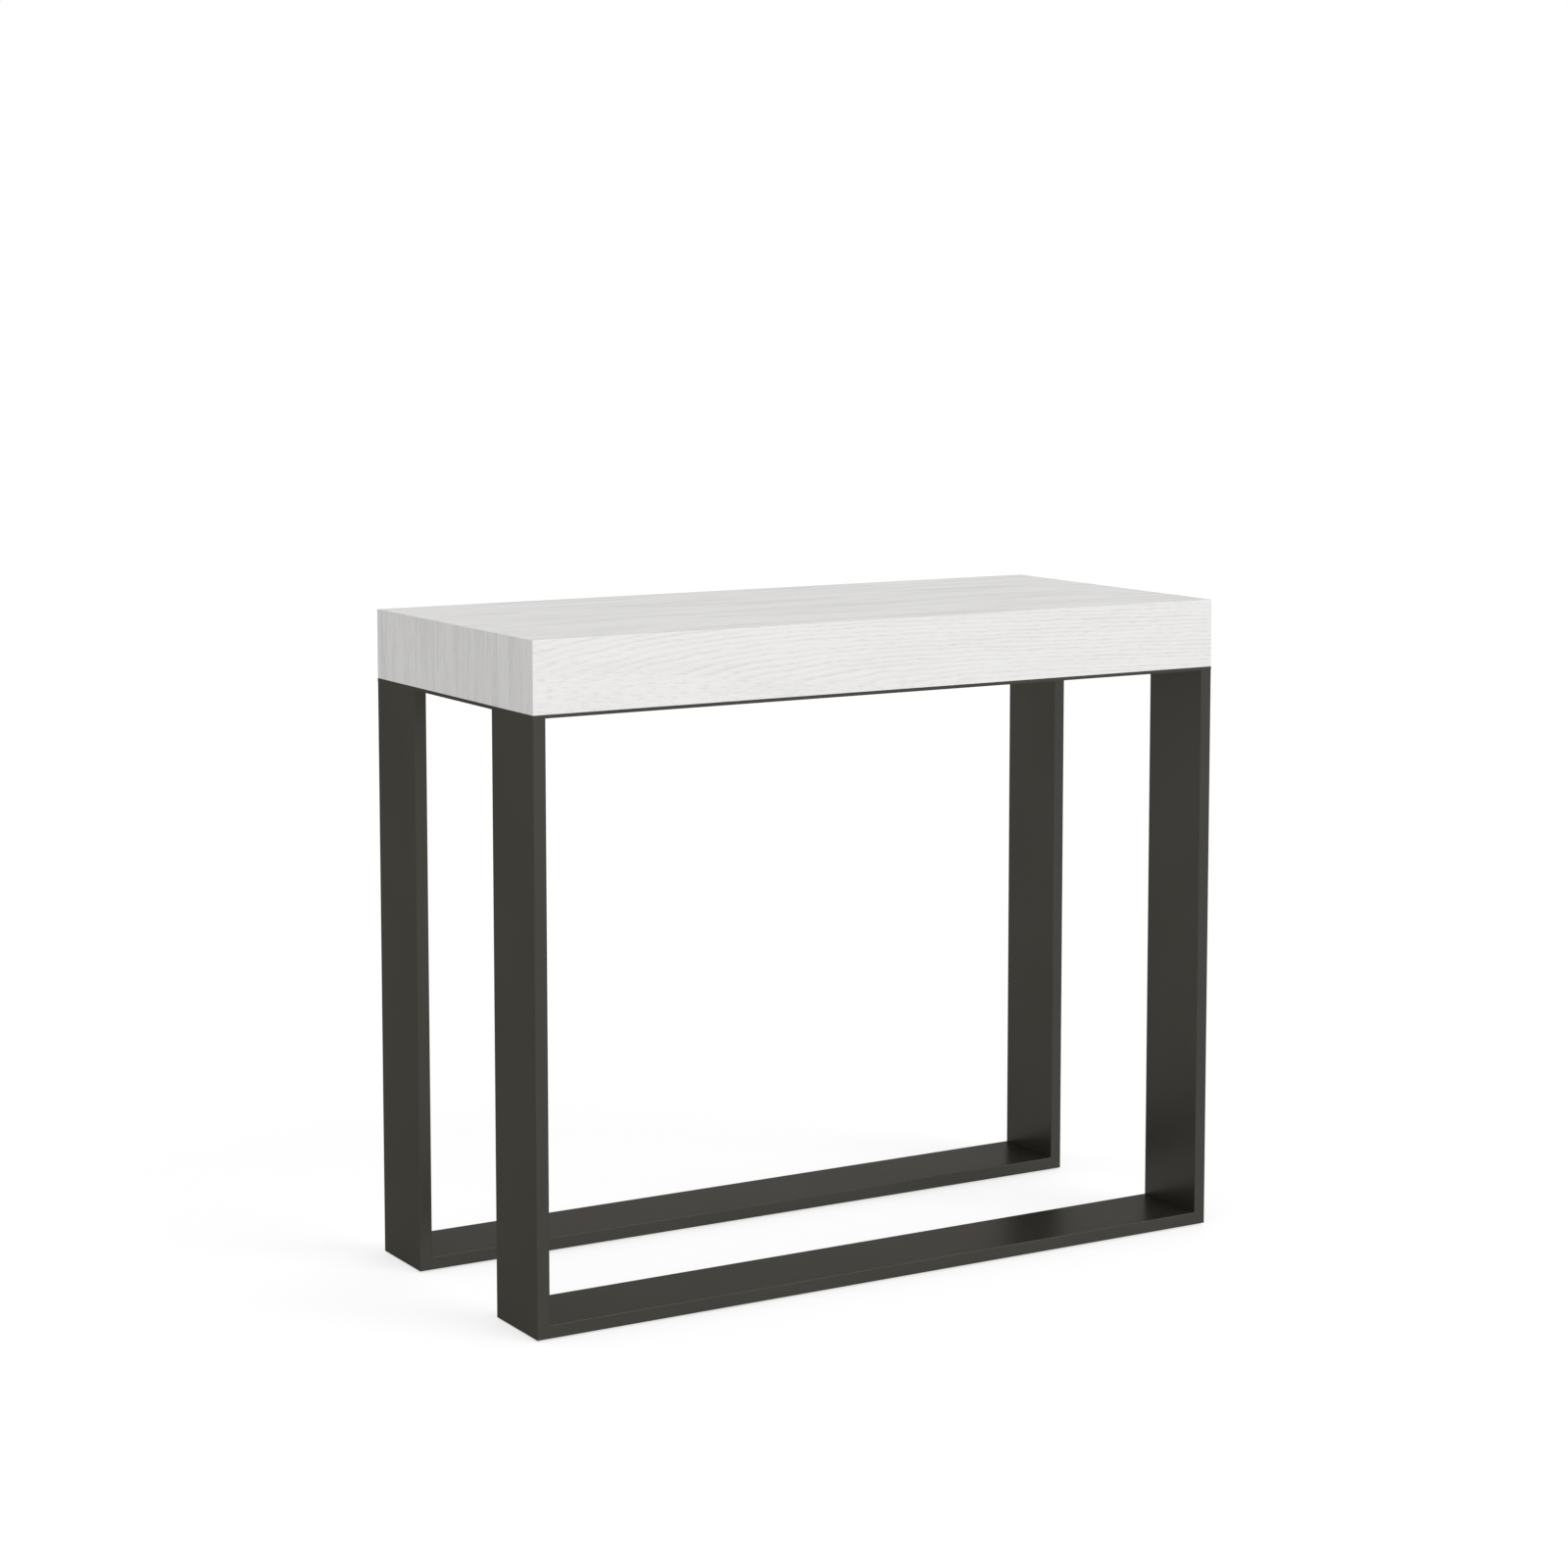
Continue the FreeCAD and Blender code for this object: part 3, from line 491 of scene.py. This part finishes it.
class Net:
    """Lays and joins the nodes of one tree."""

    def __init__(self, tree):
        self.tree = tree

    def add(self, kind, inputs=(), **settings):
        """A node with its settings, its inputs fed by name or number."""
        node = self.tree.nodes.new(kind)
        for name, value in settings.items():
            setattr(node, name, value)
        for key, value in dict(inputs).items():
            self.feed(node.inputs[key], value)
        return node

    def feed(self, socket, value):
        """Links a socket to another one, or sets its value."""
        if isinstance(value, bpy.types.NodeSocket):
            self.tree.links.new(value, socket)
        else:
            socket.default_value = value

    def math(self, operation, *values):
        return self.add("ShaderNodeMath", enumerate(values), operation=operation).outputs[0]

    def scaled(self, vector, scale):
        inputs = {0: vector, 1: scale}
        return self.add("ShaderNodeVectorMath", inputs, operation="MULTIPLY").outputs[0]

    def noise(self, vector, scale, detail):
        """Noise between 0 and 1, with its own number of features to the metre along each axis."""
        inputs = {"Vector": self.scaled(vector, scale), "Scale": 1.0, "Detail": detail}
        return self.add("ShaderNodeTexNoise", inputs).outputs[0]

    def ramp(self, value, start, end, low=0.0, high=1.0):
        """A value eased from low to high between start and end."""
        inputs = dict(enumerate((value, start, end, low, high)))
        return self.add("ShaderNodeMapRange", inputs, interpolation_type="SMOOTHSTEP").outputs[0]

    def about_middle(self, value):
        return self.math("SUBTRACT", value, MIDDLE)

    def mixed(self, amount, first, second):
        inputs = {0: amount, 6: (*first, 1), 7: (*second, 1)}
        return self.add("ShaderNodeMix", inputs, data_type="RGBA").outputs[2]

    def bump(self, height, distance, strength=1.0):
        inputs = {"Strength": strength, "Distance": distance, "Height": height}
        return self.add("ShaderNodeBump", inputs).outputs[0]

    def rotated(self, place, turn, move=(0, 0, 0)):
        """Coordinates turned by angles in degrees, then moved."""
        inputs = {"Vector": place, "Location": move, "Rotation": [math.radians(degrees) for degrees in turn]}
        return self.add("ShaderNodeMapping", inputs).outputs[0]

    def group(self, tree, **inputs):
        return self.add("ShaderNodeGroup", inputs, node_tree=tree).outputs


def new_group(name, inputs, outputs):
    """A shader group; gives its net, the sockets that bring its inputs and those that take its outputs."""
    tree = bpy.data.node_groups.new(name, "ShaderNodeTree")
    for label, kind in inputs:
        tree.interface.new_socket(name=label, in_out="INPUT", socket_type="NodeSocket" + kind)
    for label in outputs:
        tree.interface.new_socket(name=label, in_out="OUTPUT", socket_type="NodeSocketFloat")
    net = Net(tree)
    return net, net.add("NodeGroupInput").outputs, net.add("NodeGroupOutput").inputs


def growth_lines():
    """Growth lines, pores and fibre of a board that faces Y, about a heart along X that bows off in Y."""
    tree = bpy.data.node_groups.get("Growth lines")
    if tree:
        return tree
    net, given, out = new_group("Growth lines",
                                [("Vector", "Vector"), ("Bow", "Float"), ("Spacing", "Float"),
                                 ("Sweep", "Float"), ("Ripple", "Float")],
                                ["Lines", "Pores", "Fibre", "Bands"])
    place = given["Vector"]
    axes = net.add("ShaderNodeSeparateXYZ", {0: place}).outputs
    bowed = net.math("MULTIPLY", net.math("MULTIPLY", axes["X"], axes["X"]), given["Bow"])
    across = net.add("ShaderNodeCombineXYZ", {"Y": net.math("ADD", axes["Y"], bowed), "Z": axes["Z"]})
    radius = net.add("ShaderNodeVectorMath", {0: across.outputs[0]}, operation="LENGTH").outputs["Value"]
    steepness = net.math("DIVIDE", net.math("ABSOLUTE", axes["Z"]), net.math("ADD", radius, SAME_PLACE))
    clear = net.ramp(steepness, *FACE_RAMP)
    sweep = net.about_middle(net.noise(place, *SWEEP_NOISE))
    ripple = net.about_middle(net.noise(place, *RIPPLE_NOISE))
    bent = net.math("MULTIPLY_ADD", sweep, given["Sweep"], radius)
    bent = net.math("MULTIPLY_ADD", ripple, given["Ripple"], bent)
    turns = net.math("DIVIDE", bent, given["Spacing"])
    year = net.add("ShaderNodeTexWhiteNoise", {"W": net.math("FLOOR", turns)}, noise_dimensions="1D")
    phase = net.math("FRACT", turns)
    early = net.math("MAXIMUM", net.ramp(phase, *EARLY_RAMP), net.ramp(phase, *LATE_RAMP))
    fade = net.math("MULTIPLY", clear, net.ramp(net.noise(place, *FADE_NOISE), *FADE_RAMP))
    fade = net.math("MULTIPLY", fade, net.ramp(net.noise(place, *FLECK_NOISE), *FLECK_RAMP))
    fade = net.math("MULTIPLY", fade, net.ramp(year.outputs[0], *YEAR_RAMP))
    lines = net.math("MULTIPLY", early, fade)
    dashes = net.ramp(net.noise(place, *PORE_NOISE), *PORE_RAMP)
    open_grain = net.math("MAXIMUM", lines, net.math("SUBTRACT", 1.0, clear))
    net.feed(out["Lines"], lines)
    net.feed(out["Pores"], net.math("MULTIPLY", dashes, net.math("MULTIPLY_ADD", open_grain, *PORE_SPREAD)))
    net.feed(out["Fibre"], net.noise(place, *FIBRE_NOISE))
    net.feed(out["Bands"], net.ramp(net.noise(place, *BAND_NOISE), *BAND_RAMP))
    return net.tree


def surface_grain():
    """Fine moulded or sprayed texture and slow patches."""
    tree = bpy.data.node_groups.get("Surface grain")
    if tree:
        return tree
    net, given, out = new_group("Surface grain", [("Vector", "Vector"), ("Grains", "Float")],
                                ["Height", "Patch"])
    place = given["Vector"]
    fine = net.add("ShaderNodeTexNoise", {"Vector": place, "Scale": given["Grains"], "Detail": GRAIN_DETAIL})
    net.feed(out["Height"], fine.outputs[0])
    net.feed(out["Patch"], net.ramp(net.noise(place, *PATCH_NOISE), *PATCH_RAMP))
    return net.tree


def drawn_lines():
    """Fine lines along X, as on drawn or brushed metal, and slow smudges."""
    tree = bpy.data.node_groups.get("Drawn lines")
    if tree:
        return tree
    net, given, out = new_group("Drawn lines", [("Vector", "Vector")], ["Lines", "Smudge"])
    place = given["Vector"]
    net.feed(out["Lines"], net.noise(place, *DRAWN_NOISE))
    net.feed(out["Smudge"], net.ramp(net.noise(place, *SMUDGE_NOISE), *PATCH_RAMP))
    return net.tree


def new_finish(name):
    """An empty material with its shader; gives the net, the object's coordinates and the shader's inputs."""
    finish = bpy.data.materials.new(name)
    finish.use_nodes = True
    finish.node_tree.nodes.clear()
    net = Net(finish.node_tree)
    shader = net.add("ShaderNodeBsdfPrincipled")
    net.add("ShaderNodeOutputMaterial", {"Surface": shader.outputs[0]})
    return finish, net, net.add("ShaderNodeTexCoord").outputs["Object"], shader.inputs


def ash_finish(name, turn, heart, bow, band_share, boards):
    """White ash facing. The turn brings the grain onto X, the heart is where the growth lines centre."""
    finish, net, place, shader = new_finish(name)
    grain = net.group(growth_lines(), Vector=net.rotated(place, turn, heart), Bow=bow,
                      Spacing=boards.line_spacing, Sweep=boards.line_sweep, Ripple=boards.line_ripple)
    shade = net.math("MULTIPLY_ADD", grain["Pores"], PORE_SHARE,
                     net.math("MULTIPLY", grain["Lines"], LINE_SHARE))
    shade = net.math("MULTIPLY_ADD", net.about_middle(grain["Fibre"]), FIBRE_SHARE, shade)
    shade = net.math("MULTIPLY_ADD", net.about_middle(grain["Bands"]), band_share, shade)
    amount = net.add("ShaderNodeClamp", {"Value": shade}).outputs[0]
    net.feed(shader["Base Color"], net.mixed(amount, boards.ash, boards.ash_line))
    net.feed(shader["Roughness"], net.math("MULTIPLY_ADD", grain["Pores"], PORE_ROUGHNESS, boards.roughness))
    shader["Specular IOR Level"].default_value = ASH_SPECULAR
    depth = net.math("MULTIPLY_ADD", grain["Lines"], LINE_DEPTH_SHARE, grain["Pores"])
    net.feed(shader["Normal"], net.bump(net.math("MULTIPLY", depth, -1.0), boards.pore_depth))
    return finish


def paint_finish(hardware):
    """Satin anthracite powder coat."""
    finish, net, place, shader = new_finish("anthracite_powder_coat")
    grain = net.group(surface_grain(), Vector=place, Grains=PAINT_GRAINS)
    net.feed(shader["Base Color"], net.mixed(grain["Patch"], hardware.paint, hardware.paint_patch))
    net.feed(shader["Roughness"], net.math("MULTIPLY_ADD", grain["Height"], *PAINT_ROUGHNESS))
    shader["Metallic"].default_value = PAINT_METALLIC
    shader["Specular Tint"].default_value = PAINT_EDGE_TINT
    shader["Specular IOR Level"].default_value = PAINT_SPECULAR
    net.feed(shader["Normal"], net.bump(grain["Height"], hardware.peel_height, PEEL_STRENGTH))
    return finish


def aluminium_finish(hardware):
    """Anodised extrusion with its drawing lines along Y."""
    finish, net, place, shader = new_finish("anodised_extrusion")
    drawn = net.group(drawn_lines(), Vector=net.rotated(place, ALONG_Y))
    net.feed(shader["Base Color"], net.mixed(drawn["Lines"], hardware.aluminium, hardware.aluminium_line))
    net.feed(shader["Roughness"], net.math("MULTIPLY_ADD", drawn["Smudge"], *ALUMINIUM_ROUGHNESS))
    shader["Metallic"].default_value = 1.0
    net.feed(shader["Normal"], net.bump(drawn["Lines"], *ALUMINIUM_RELIEF))
    return finish


def zinc_finish(name, turn, hardware):
    """Brushed zinc plate with its lines along an axis."""
    finish, net, place, shader = new_finish(name)
    drawn = net.group(drawn_lines(), Vector=net.rotated(place, turn))
    net.feed(shader["Base Color"], net.mixed(drawn["Smudge"], hardware.zinc, hardware.zinc_patch))
    net.feed(shader["Roughness"], net.math("MULTIPLY_ADD", drawn["Lines"], *ZINC_ROUGHNESS))
    shader["Metallic"].default_value = 1.0
    net.feed(shader["Normal"], net.bump(drawn["Lines"], *ZINC_RELIEF))
    return finish


def nylon_finish(name, grains, hardware):
    """Black moulded nylon."""
    finish, net, place, shader = new_finish(name)
    grain = net.group(surface_grain(), Vector=place, Grains=grains)
    net.feed(shader["Base Color"], net.mixed(grain["Patch"], hardware.nylon, hardware.nylon_patch))
    net.feed(shader["Roughness"], net.math("MULTIPLY_ADD", grain["Height"], *NYLON_ROUGHNESS))
    shader["Specular IOR Level"].default_value = NYLON_SPECULAR
    net.feed(shader["Normal"], net.bump(grain["Height"], *NYLON_RELIEF))
    return finish


def beech_finish(hardware):
    """Raw beech with its grain along Y."""
    finish, net, place, shader = new_finish("dowel_beech")
    grain = net.group(growth_lines(), Vector=net.rotated(place, ALONG_Y, BEECH_HEART), **BEECH_GRAIN)
    flecks = net.math("MULTIPLY_ADD", grain["Pores"], BEECH_PORE_SHARE,
                      net.math("MULTIPLY", grain["Lines"], BEECH_LINE_SHARE))
    net.feed(shader["Base Color"], net.mixed(flecks, hardware.beech, hardware.beech_fleck))
    net.feed(shader["Roughness"], net.math("MULTIPLY_ADD", grain["Fibre"], *BEECH_ROUGHNESS))
    net.feed(shader["Normal"], net.bump(grain["Fibre"], *BEECH_RELIEF))
    return finish


def coat(finish, *endings):
    """Gives a finish to every node whose name has one of these endings."""
    for name, node in frame["nodes"].items():
        if name.endswith(endings):
            for holder in node.material_slots:
                holder.material = finish


# Operators

class DressBoards(bpy.types.Operator):
    """Faces the top panels, aprons and end panels in white ash"""

    bl_idname = "console.dress_boards"
    bl_label = "White ash boards"

    def execute(self, context):
        for name, (turn, heart, bow, band_share, endings) in ASH_BOARDS.items():
            coat(ash_finish(name, turn, heart, bow, band_share, context.scene.console_boards), *endings)
        return {"FINISHED"}


class DressFrames(bpy.types.Operator):
    """Powder coats the plates, legs and floor rails"""

    bl_idname = "console.dress_frames"
    bl_label = "Steel frames"

    def execute(self, context):
        coat(paint_finish(context.scene.console_hardware), "_plate", "_leg", "_floor_rail")
        return {"FINISHED"}


class DressRails(bpy.types.Operator):
    """Finishes the telescopic rails, their crossbars and their nylon shoes"""

    bl_idname = "console.dress_rails"
    bl_label = "Telescopic rails"

    def execute(self, context):
        hardware = context.scene.console_hardware
        coat(aluminium_finish(hardware), "_left_rail", "_right_rail")
        coat(zinc_finish("zinc_plated_bar", ALONG_X, hardware), "_crossbar")
        coat(nylon_finish("shoe_nylon", SHOE_GRAINS, hardware), "_shoes")
        return {"FINISHED"}


class DressLevers(bpy.types.Operator):
    """Finishes the latch levers"""

    bl_idname = "console.dress_levers"
    bl_label = "Latch levers"

    def execute(self, context):
        coat(zinc_finish("zinc_plated_lever", ALONG_X, context.scene.console_hardware), "_latch_lever")
        return {"FINISHED"}


class MakePlateScrews(bpy.types.Operator):
    """Raised countersunk wood screws under the plates"""

    bl_idname = "console.make_plate_screws"
    bl_label = "Plate screws"

    def execute(self, context):
        sizes = context.scene.console_fixings
        finish = zinc_finish("zinc_plated_screw", ALONG_Z, context.scene.console_hardware)
        nodes = half_boxes("_plate_screws")
        head, tip = girth(nodes["front_plate_screws"][0])
        core = sizes.core_diameter / 2
        screw = turned(raised_head(head, core, sizes) + ended(WOOD_SCREW_TIP, core, tip), sizes.sides)
        add_thread(screw, PLATE_THREAD_START, tip - THREAD_TIP_GAP, sizes)
        cut_cross(screw, sizes)
        for node, boxes in nodes.items():
            stand_in(upright(screw, boxes), node, finish)
        remove(screw)
        return {"FINISHED"}


class MakeRailScrews(bpy.types.Operator):
    """Pan head wood screws in the flanges of the fixed rails"""

    bl_idname = "console.make_rail_screws"
    bl_label = "Rail screws"

    def execute(self, context):
        sizes = context.scene.console_fixings
        finish = zinc_finish("zinc_plated_pan_screw", ALONG_Z, context.scene.console_hardware)
        nodes = half_boxes("_rail_screws")
        first = nodes["front_rail_screws"][0]
        head, tip = girth(first)
        core = sizes.core_diameter / 2
        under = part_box("front_left_rail")[1].z - FLANGE - first[0].z
        screw = turned(formed(PAN_HEAD, head, MM) + [(head, under), (core, under)]
                       + ended(WOOD_SCREW_TIP, core, tip), sizes.sides)
        add_thread(screw, under + RAIL_THREAD_GAP, tip - THREAD_TIP_GAP, sizes)
        cut_cross(screw, sizes)
        for node, boxes in nodes.items():
            stand_in(upright(screw, boxes), node, finish)
        remove(screw)
        return {"FINISHED"}


class MakeStageFixings(bpy.types.Operator):
    """Machine screws of the crossbars and stop rivets of the rails"""

    bl_idname = "console.make_stage_fixings"
    bl_label = "Stage screws and stops"

    def execute(self, context):
        sizes = context.scene.console_fixings
        finish = zinc_finish("zinc_plated_fixing", ALONG_Z, context.scene.console_hardware)
        rail_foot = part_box("stage_1_left_rail")[0].z
        nodes = ["rear_stop_rivets"] + ["stage_%d_fasteners" % stage for stage in STAGES]
        boxes = {node: solid_boxes(node) for node in nodes}
        screws = {node: [box for box in found if box[0].z < rail_foot] for node, found in boxes.items()}
        stops = {node: [box for box in found if box[0].z > rail_foot] for node, found in boxes.items()}
        screw = self.machine_screw(screws["stage_1_fasteners"][0], sizes)
        rivet = self.stop_rivet(stops["rear_stop_rivets"][0], sizes)
        for node in nodes:
            made = upright(screw, screws[node])
            made += copies(rivet, [self.stop_place(box) for box in stops[node]])
            stand_in(made, node, finish)
        remove(screw, rivet)
        return {"FINISHED"}

    def machine_screw(self, box, sizes):
        head, end = girth(box)
        shank = sizes.shank_diameter / 2
        screw = turned(raised_head(head, shank, sizes) + ended(MACHINE_SCREW_END, shank, end), sizes.sides)
        cut_cross(screw, sizes)
        return screw

    def stop_rivet(self, box, sizes):
        """A rivet on the Z axis, which runs along X in its rail."""
        low, high = box
        head, end = (high.z - low.z) / 2, high.x - low.x
        shank = sizes.stop_diameter / 2
        return turned(formed(RIVET_HEAD_SHARES, head, sizes.stop_head) + [(shank, sizes.stop_head)]
                      + ended(RIVET_END, shank, end), sizes.sides)

    def stop_place(self, box):
        """A rivet's head lies on the outside of its rail."""
        low, high = box
        side = 1 if low.x > 0 else -1
        outside = high.x if side > 0 else low.x
        return (outside, middle(box).y, middle(box).z), (0, -side * QUARTER_TURN, 0)


class MakeGlides(bpy.types.Operator):
    """Moulded glides under the floor rails"""

    bl_idname = "console.make_glides"
    bl_label = "Glides"

    def execute(self, context):
        finish = nylon_finish("glide_nylon", GLIDE_GRAINS, context.scene.console_hardware)
        nodes = half_boxes("_glides")
        glide = turned(formed(GLIDE_SHARES, *girth(nodes["front_glides"][0])),
                       context.scene.console_fixings.sides)
        for node, boxes in nodes.items():
            stand_in(upright(glide, boxes), node, finish)
        remove(glide)
        return {"FINISHED"}


class MakeDowels(bpy.types.Operator):
    """Fluted beech dowels in the seam edge of the front top panel"""

    bl_idname = "console.make_dowels"
    bl_label = "Dowels"

    def execute(self, context):
        sizes = context.scene.console_fixings
        boxes = solid_boxes("alignment_dowels")
        low, high = boxes[0]
        radius, end = girth(boxes[0])[0] - sizes.dowel_clearance, high.y - low.y
        dowel = turned(formed(DOWEL_NOSE, radius, MM) + ended(DOWEL_NOSE, radius, end),
                       FLUTE_POINTS * sizes.dowel_flutes)
        edit(dowel)
        sector = math.tau / sizes.dowel_flutes
        pick_points(lambda place: self.in_flute(place, radius, sector))
        depth = 1 - sizes.flute_depth / radius
        bpy.ops.transform.resize(value=(depth, depth, 1), center_override=(0, 0, 0))
        close_edit()
        places = [((middle(box).x, box[0].y, middle(box).z), (-QUARTER_TURN, 0, 0)) for box in boxes]
        stand_in(copies(dowel, places), "alignment_dowels", beech_finish(context.scene.console_hardware))
        remove(dowel)
        return {"FINISHED"}

    def in_flute(self, place, radius, sector):
        """True for one line of points in three round the dowel's full width."""
        out = math.hypot(place.x, place.y)
        turn = math.atan2(place.y, place.x) / sector
        return out > FULL_WIDTH_SHARE * radius and abs(turn - round(turn)) < FLUTE_TOLERANCE


class MakeLatchPins(bpy.types.Operator):
    """Shoulder screws that the levers turn on, and the studs that they hook"""

    bl_idname = "console.make_latch_pins"
    bl_label = "Latch pins"

    def execute(self, context):
        sizes = context.scene.console_fixings
        finish = zinc_finish("zinc_plated_pin", ALONG_Z, context.scene.console_hardware)
        pivots, studs = solid_boxes("latch_pivots"), solid_boxes("latch_studs")
        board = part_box("front_top_panel")[0].z
        pivot = self.pivot(pivots[0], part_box("left_latch_lever")[1].z, board, sizes)
        stud = self.stud(studs[0], board, sizes)
        stand_in(upright(pivot, pivots), "latch_pivots", finish)
        stand_in(upright(stud, studs), "latch_studs", finish)
        remove(pivot, stud)
        return {"FINISHED"}

    def pivot(self, box, lever_top, board, sizes):
        """Head, shoulder for the lever, collar against the board and shank."""
        foot = box[0].z
        wide, end = girth(box)
        shoulder, shank = sizes.pin_diameter / 2, sizes.pin_shank / 2
        collar, seat = lever_top + LATCH_PLAY - foot, board - foot
        neck = collar - LEVER_ROOM
        pin = turned(formed(PIVOT_HEAD, wide, MM)
                     + [(wide, neck), (shoulder, neck), (shoulder, collar), (wide, collar), (wide, seat),
                        (shank, seat)]
                     + ended(PIN_END, shank, end), sizes.sides)
        cut_socket(pin, sizes.socket_reach, PIVOT_SOCKET_DEPTH)
        return pin

    def stud(self, box, board, sizes):
        """Straight pin from its round nose to the board, and shank."""
        end = girth(box)[1]
        radius, shank = sizes.pin_diameter / 2, sizes.pin_shank / 2
        seat = board - box[0].z
        pin = turned(formed(STUD_HEAD, radius, MM) + [(radius, seat), (shank, seat)]
                     + ended(PIN_END, shank, end), sizes.sides)
        cut_socket(pin, STUD_SOCKET_SHARE * sizes.socket_reach, STUD_SOCKET_DEPTH)
        return pin


class SetStudio(bpy.types.Operator):
    """Floor, soft light and camera"""

    bl_idname = "console.set_studio"
    bl_label = "Studio"

    def execute(self, context):
        studio = context.scene.console_studio
        context.scene.view_settings.view_transform = "Standard"
        self.floor(studio)
        self.light(context.scene, studio)
        self.camera(context.scene, studio)
        return {"FINISHED"}

    def seen(self, net):
        """1 for rays that show the background, 0 for rays that carry light to the table."""
        ray = net.add("ShaderNodeLightPath").outputs
        seen = net.math("MAXIMUM", ray["Is Camera Ray"], ray["Is Glossy Ray"])
        return net.math("MAXIMUM", seen, ray["Is Transmission Ray"])

    def floor(self, studio):
        """A pale floor that shows white with a faint shadow, and nothing at all from below."""
        floor = added(bpy.ops.mesh.primitive_plane_add, size=studio.floor_size,
                      location=(0, 0, -studio.floor_drop))
        floor.name = "studio_floor"
        finish = bpy.data.materials.new("studio_floor")
        finish.use_nodes = True
        finish.node_tree.nodes.clear()
        net = Net(finish.node_tree)
        shade = (studio.shadow, studio.shadow, studio.shadow, 1)
        pale = net.add("ShaderNodeBsdfDiffuse", {"Color": (*studio.floor, 1)}).outputs[0]
        shadow = net.add("ShaderNodeBsdfDiffuse", {"Color": shade}).outputs[0]
        glow = net.add("ShaderNodeEmission", {"Strength": FLOOR_LEVEL - FLOOR_LIGHT * studio.shadow})
        white = net.add("ShaderNodeAddShader", {0: shadow, 1: glow.outputs[0]}).outputs[0]
        above = net.add("ShaderNodeMixShader", {0: self.seen(net), 1: pale, 2: white}).outputs[0]
        below = net.math("MULTIPLY", net.add("ShaderNodeNewGeometry").outputs["Backfacing"],
                         net.add("ShaderNodeLightPath").outputs["Is Camera Ray"])
        clear = net.add("ShaderNodeBsdfTransparent").outputs[0]
        surface = net.add("ShaderNodeMixShader", {0: below, 1: above, 2: clear}).outputs[0]
        net.add("ShaderNodeOutputMaterial", {"Surface": surface})
        floor.data.materials.append(finish)

    def light(self, scene, studio):
        """Even light from all round, white where it is seen, and a soft lamp."""
        scene.world = bpy.data.worlds.new("studio_sky")
        scene.world.use_nodes = True
        scene.world.node_tree.nodes.clear()
        net = Net(scene.world.node_tree)
        strength = net.math("MULTIPLY_ADD", self.seen(net), 1 - studio.sky, studio.sky)
        sky = net.add("ShaderNodeBackground", {"Color": WHITE, "Strength": strength})
        net.add("ShaderNodeOutputWorld", {"Surface": sky.outputs[0]})
        sun_from = Vector(studio.sun_from)
        bpy.ops.object.light_add(type="SUN", location=sun_from * LAMP_DISTANCE)
        lamp = bpy.context.object
        lamp.name = "soft_lamp"
        lamp.rotation_euler = sun_from.to_track_quat("Z", "Y").to_euler()
        lamp.data.energy = studio.sun
        lamp.data.angle = studio.sun_spread

    def camera(self, scene, studio):
        turn = (QUARTER_TURN - studio.camera_pitch, 0, -studio.camera_yaw)
        bpy.ops.object.camera_add(location=studio.camera_place, rotation=turn)
        camera = bpy.context.object
        camera.name = "camera"
        camera.data.lens = studio.lens
        camera.data.shift_x, camera.data.shift_y = studio.shift
        camera.data.clip_end = 2 * studio.floor_size
        scene.camera = camera


SETTINGS = {"console_boards": BoardFinish, "console_hardware": HardwareFinish, "console_fixings": FixingSizes,
            "console_studio": StudioSettings}
STEPS = (DressBoards, DressFrames, DressRails, DressLevers, MakePlateScrews, MakeRailScrews, MakeStageFixings,
         MakeGlides, MakeDowels, MakeLatchPins, SetStudio)


class ConsolePanel(bpy.types.Panel):
    """Lists the steps that finish the table, and their settings"""

    bl_idname = "VIEW3D_PT_console"
    bl_label = "Console table"
    bl_space_type = "VIEW_3D"
    bl_region_type = "UI"
    bl_category = "Console"

    def draw(self, context):
        for step in STEPS:
            self.layout.operator(step.bl_idname)
        for name in SETTINGS:
            settings = getattr(context.scene, name)
            box = self.layout.box()
            for prop in settings.bl_rna.properties:
                if prop.identifier not in ("name", "rna_type"):
                    box.prop(settings, prop.identifier)


def register():
    for kind in (*SETTINGS.values(), *STEPS, ConsolePanel):
        bpy.utils.register_class(kind)
    for name, kind in SETTINGS.items():
        setattr(bpy.types.Scene, name, PointerProperty(type=kind))


def unregister():
    for name in SETTINGS:
        delattr(bpy.types.Scene, name)
    for kind in (ConsolePanel, *reversed(STEPS), *SETTINGS.values()):
        bpy.utils.unregister_class(kind)


def main():
    register()
    bpy.ops.console.dress_boards()
    bpy.ops.console.dress_frames()
    bpy.ops.console.dress_rails()
    bpy.ops.console.dress_levers()
    bpy.ops.console.make_plate_screws()
    bpy.ops.console.make_rail_screws()
    bpy.ops.console.make_stage_fixings()
    bpy.ops.console.make_glides()
    bpy.ops.console.make_dowels()
    bpy.ops.console.make_latch_pins()
    bpy.ops.console.set_studio()


if __name__ == "__main__":
    main()
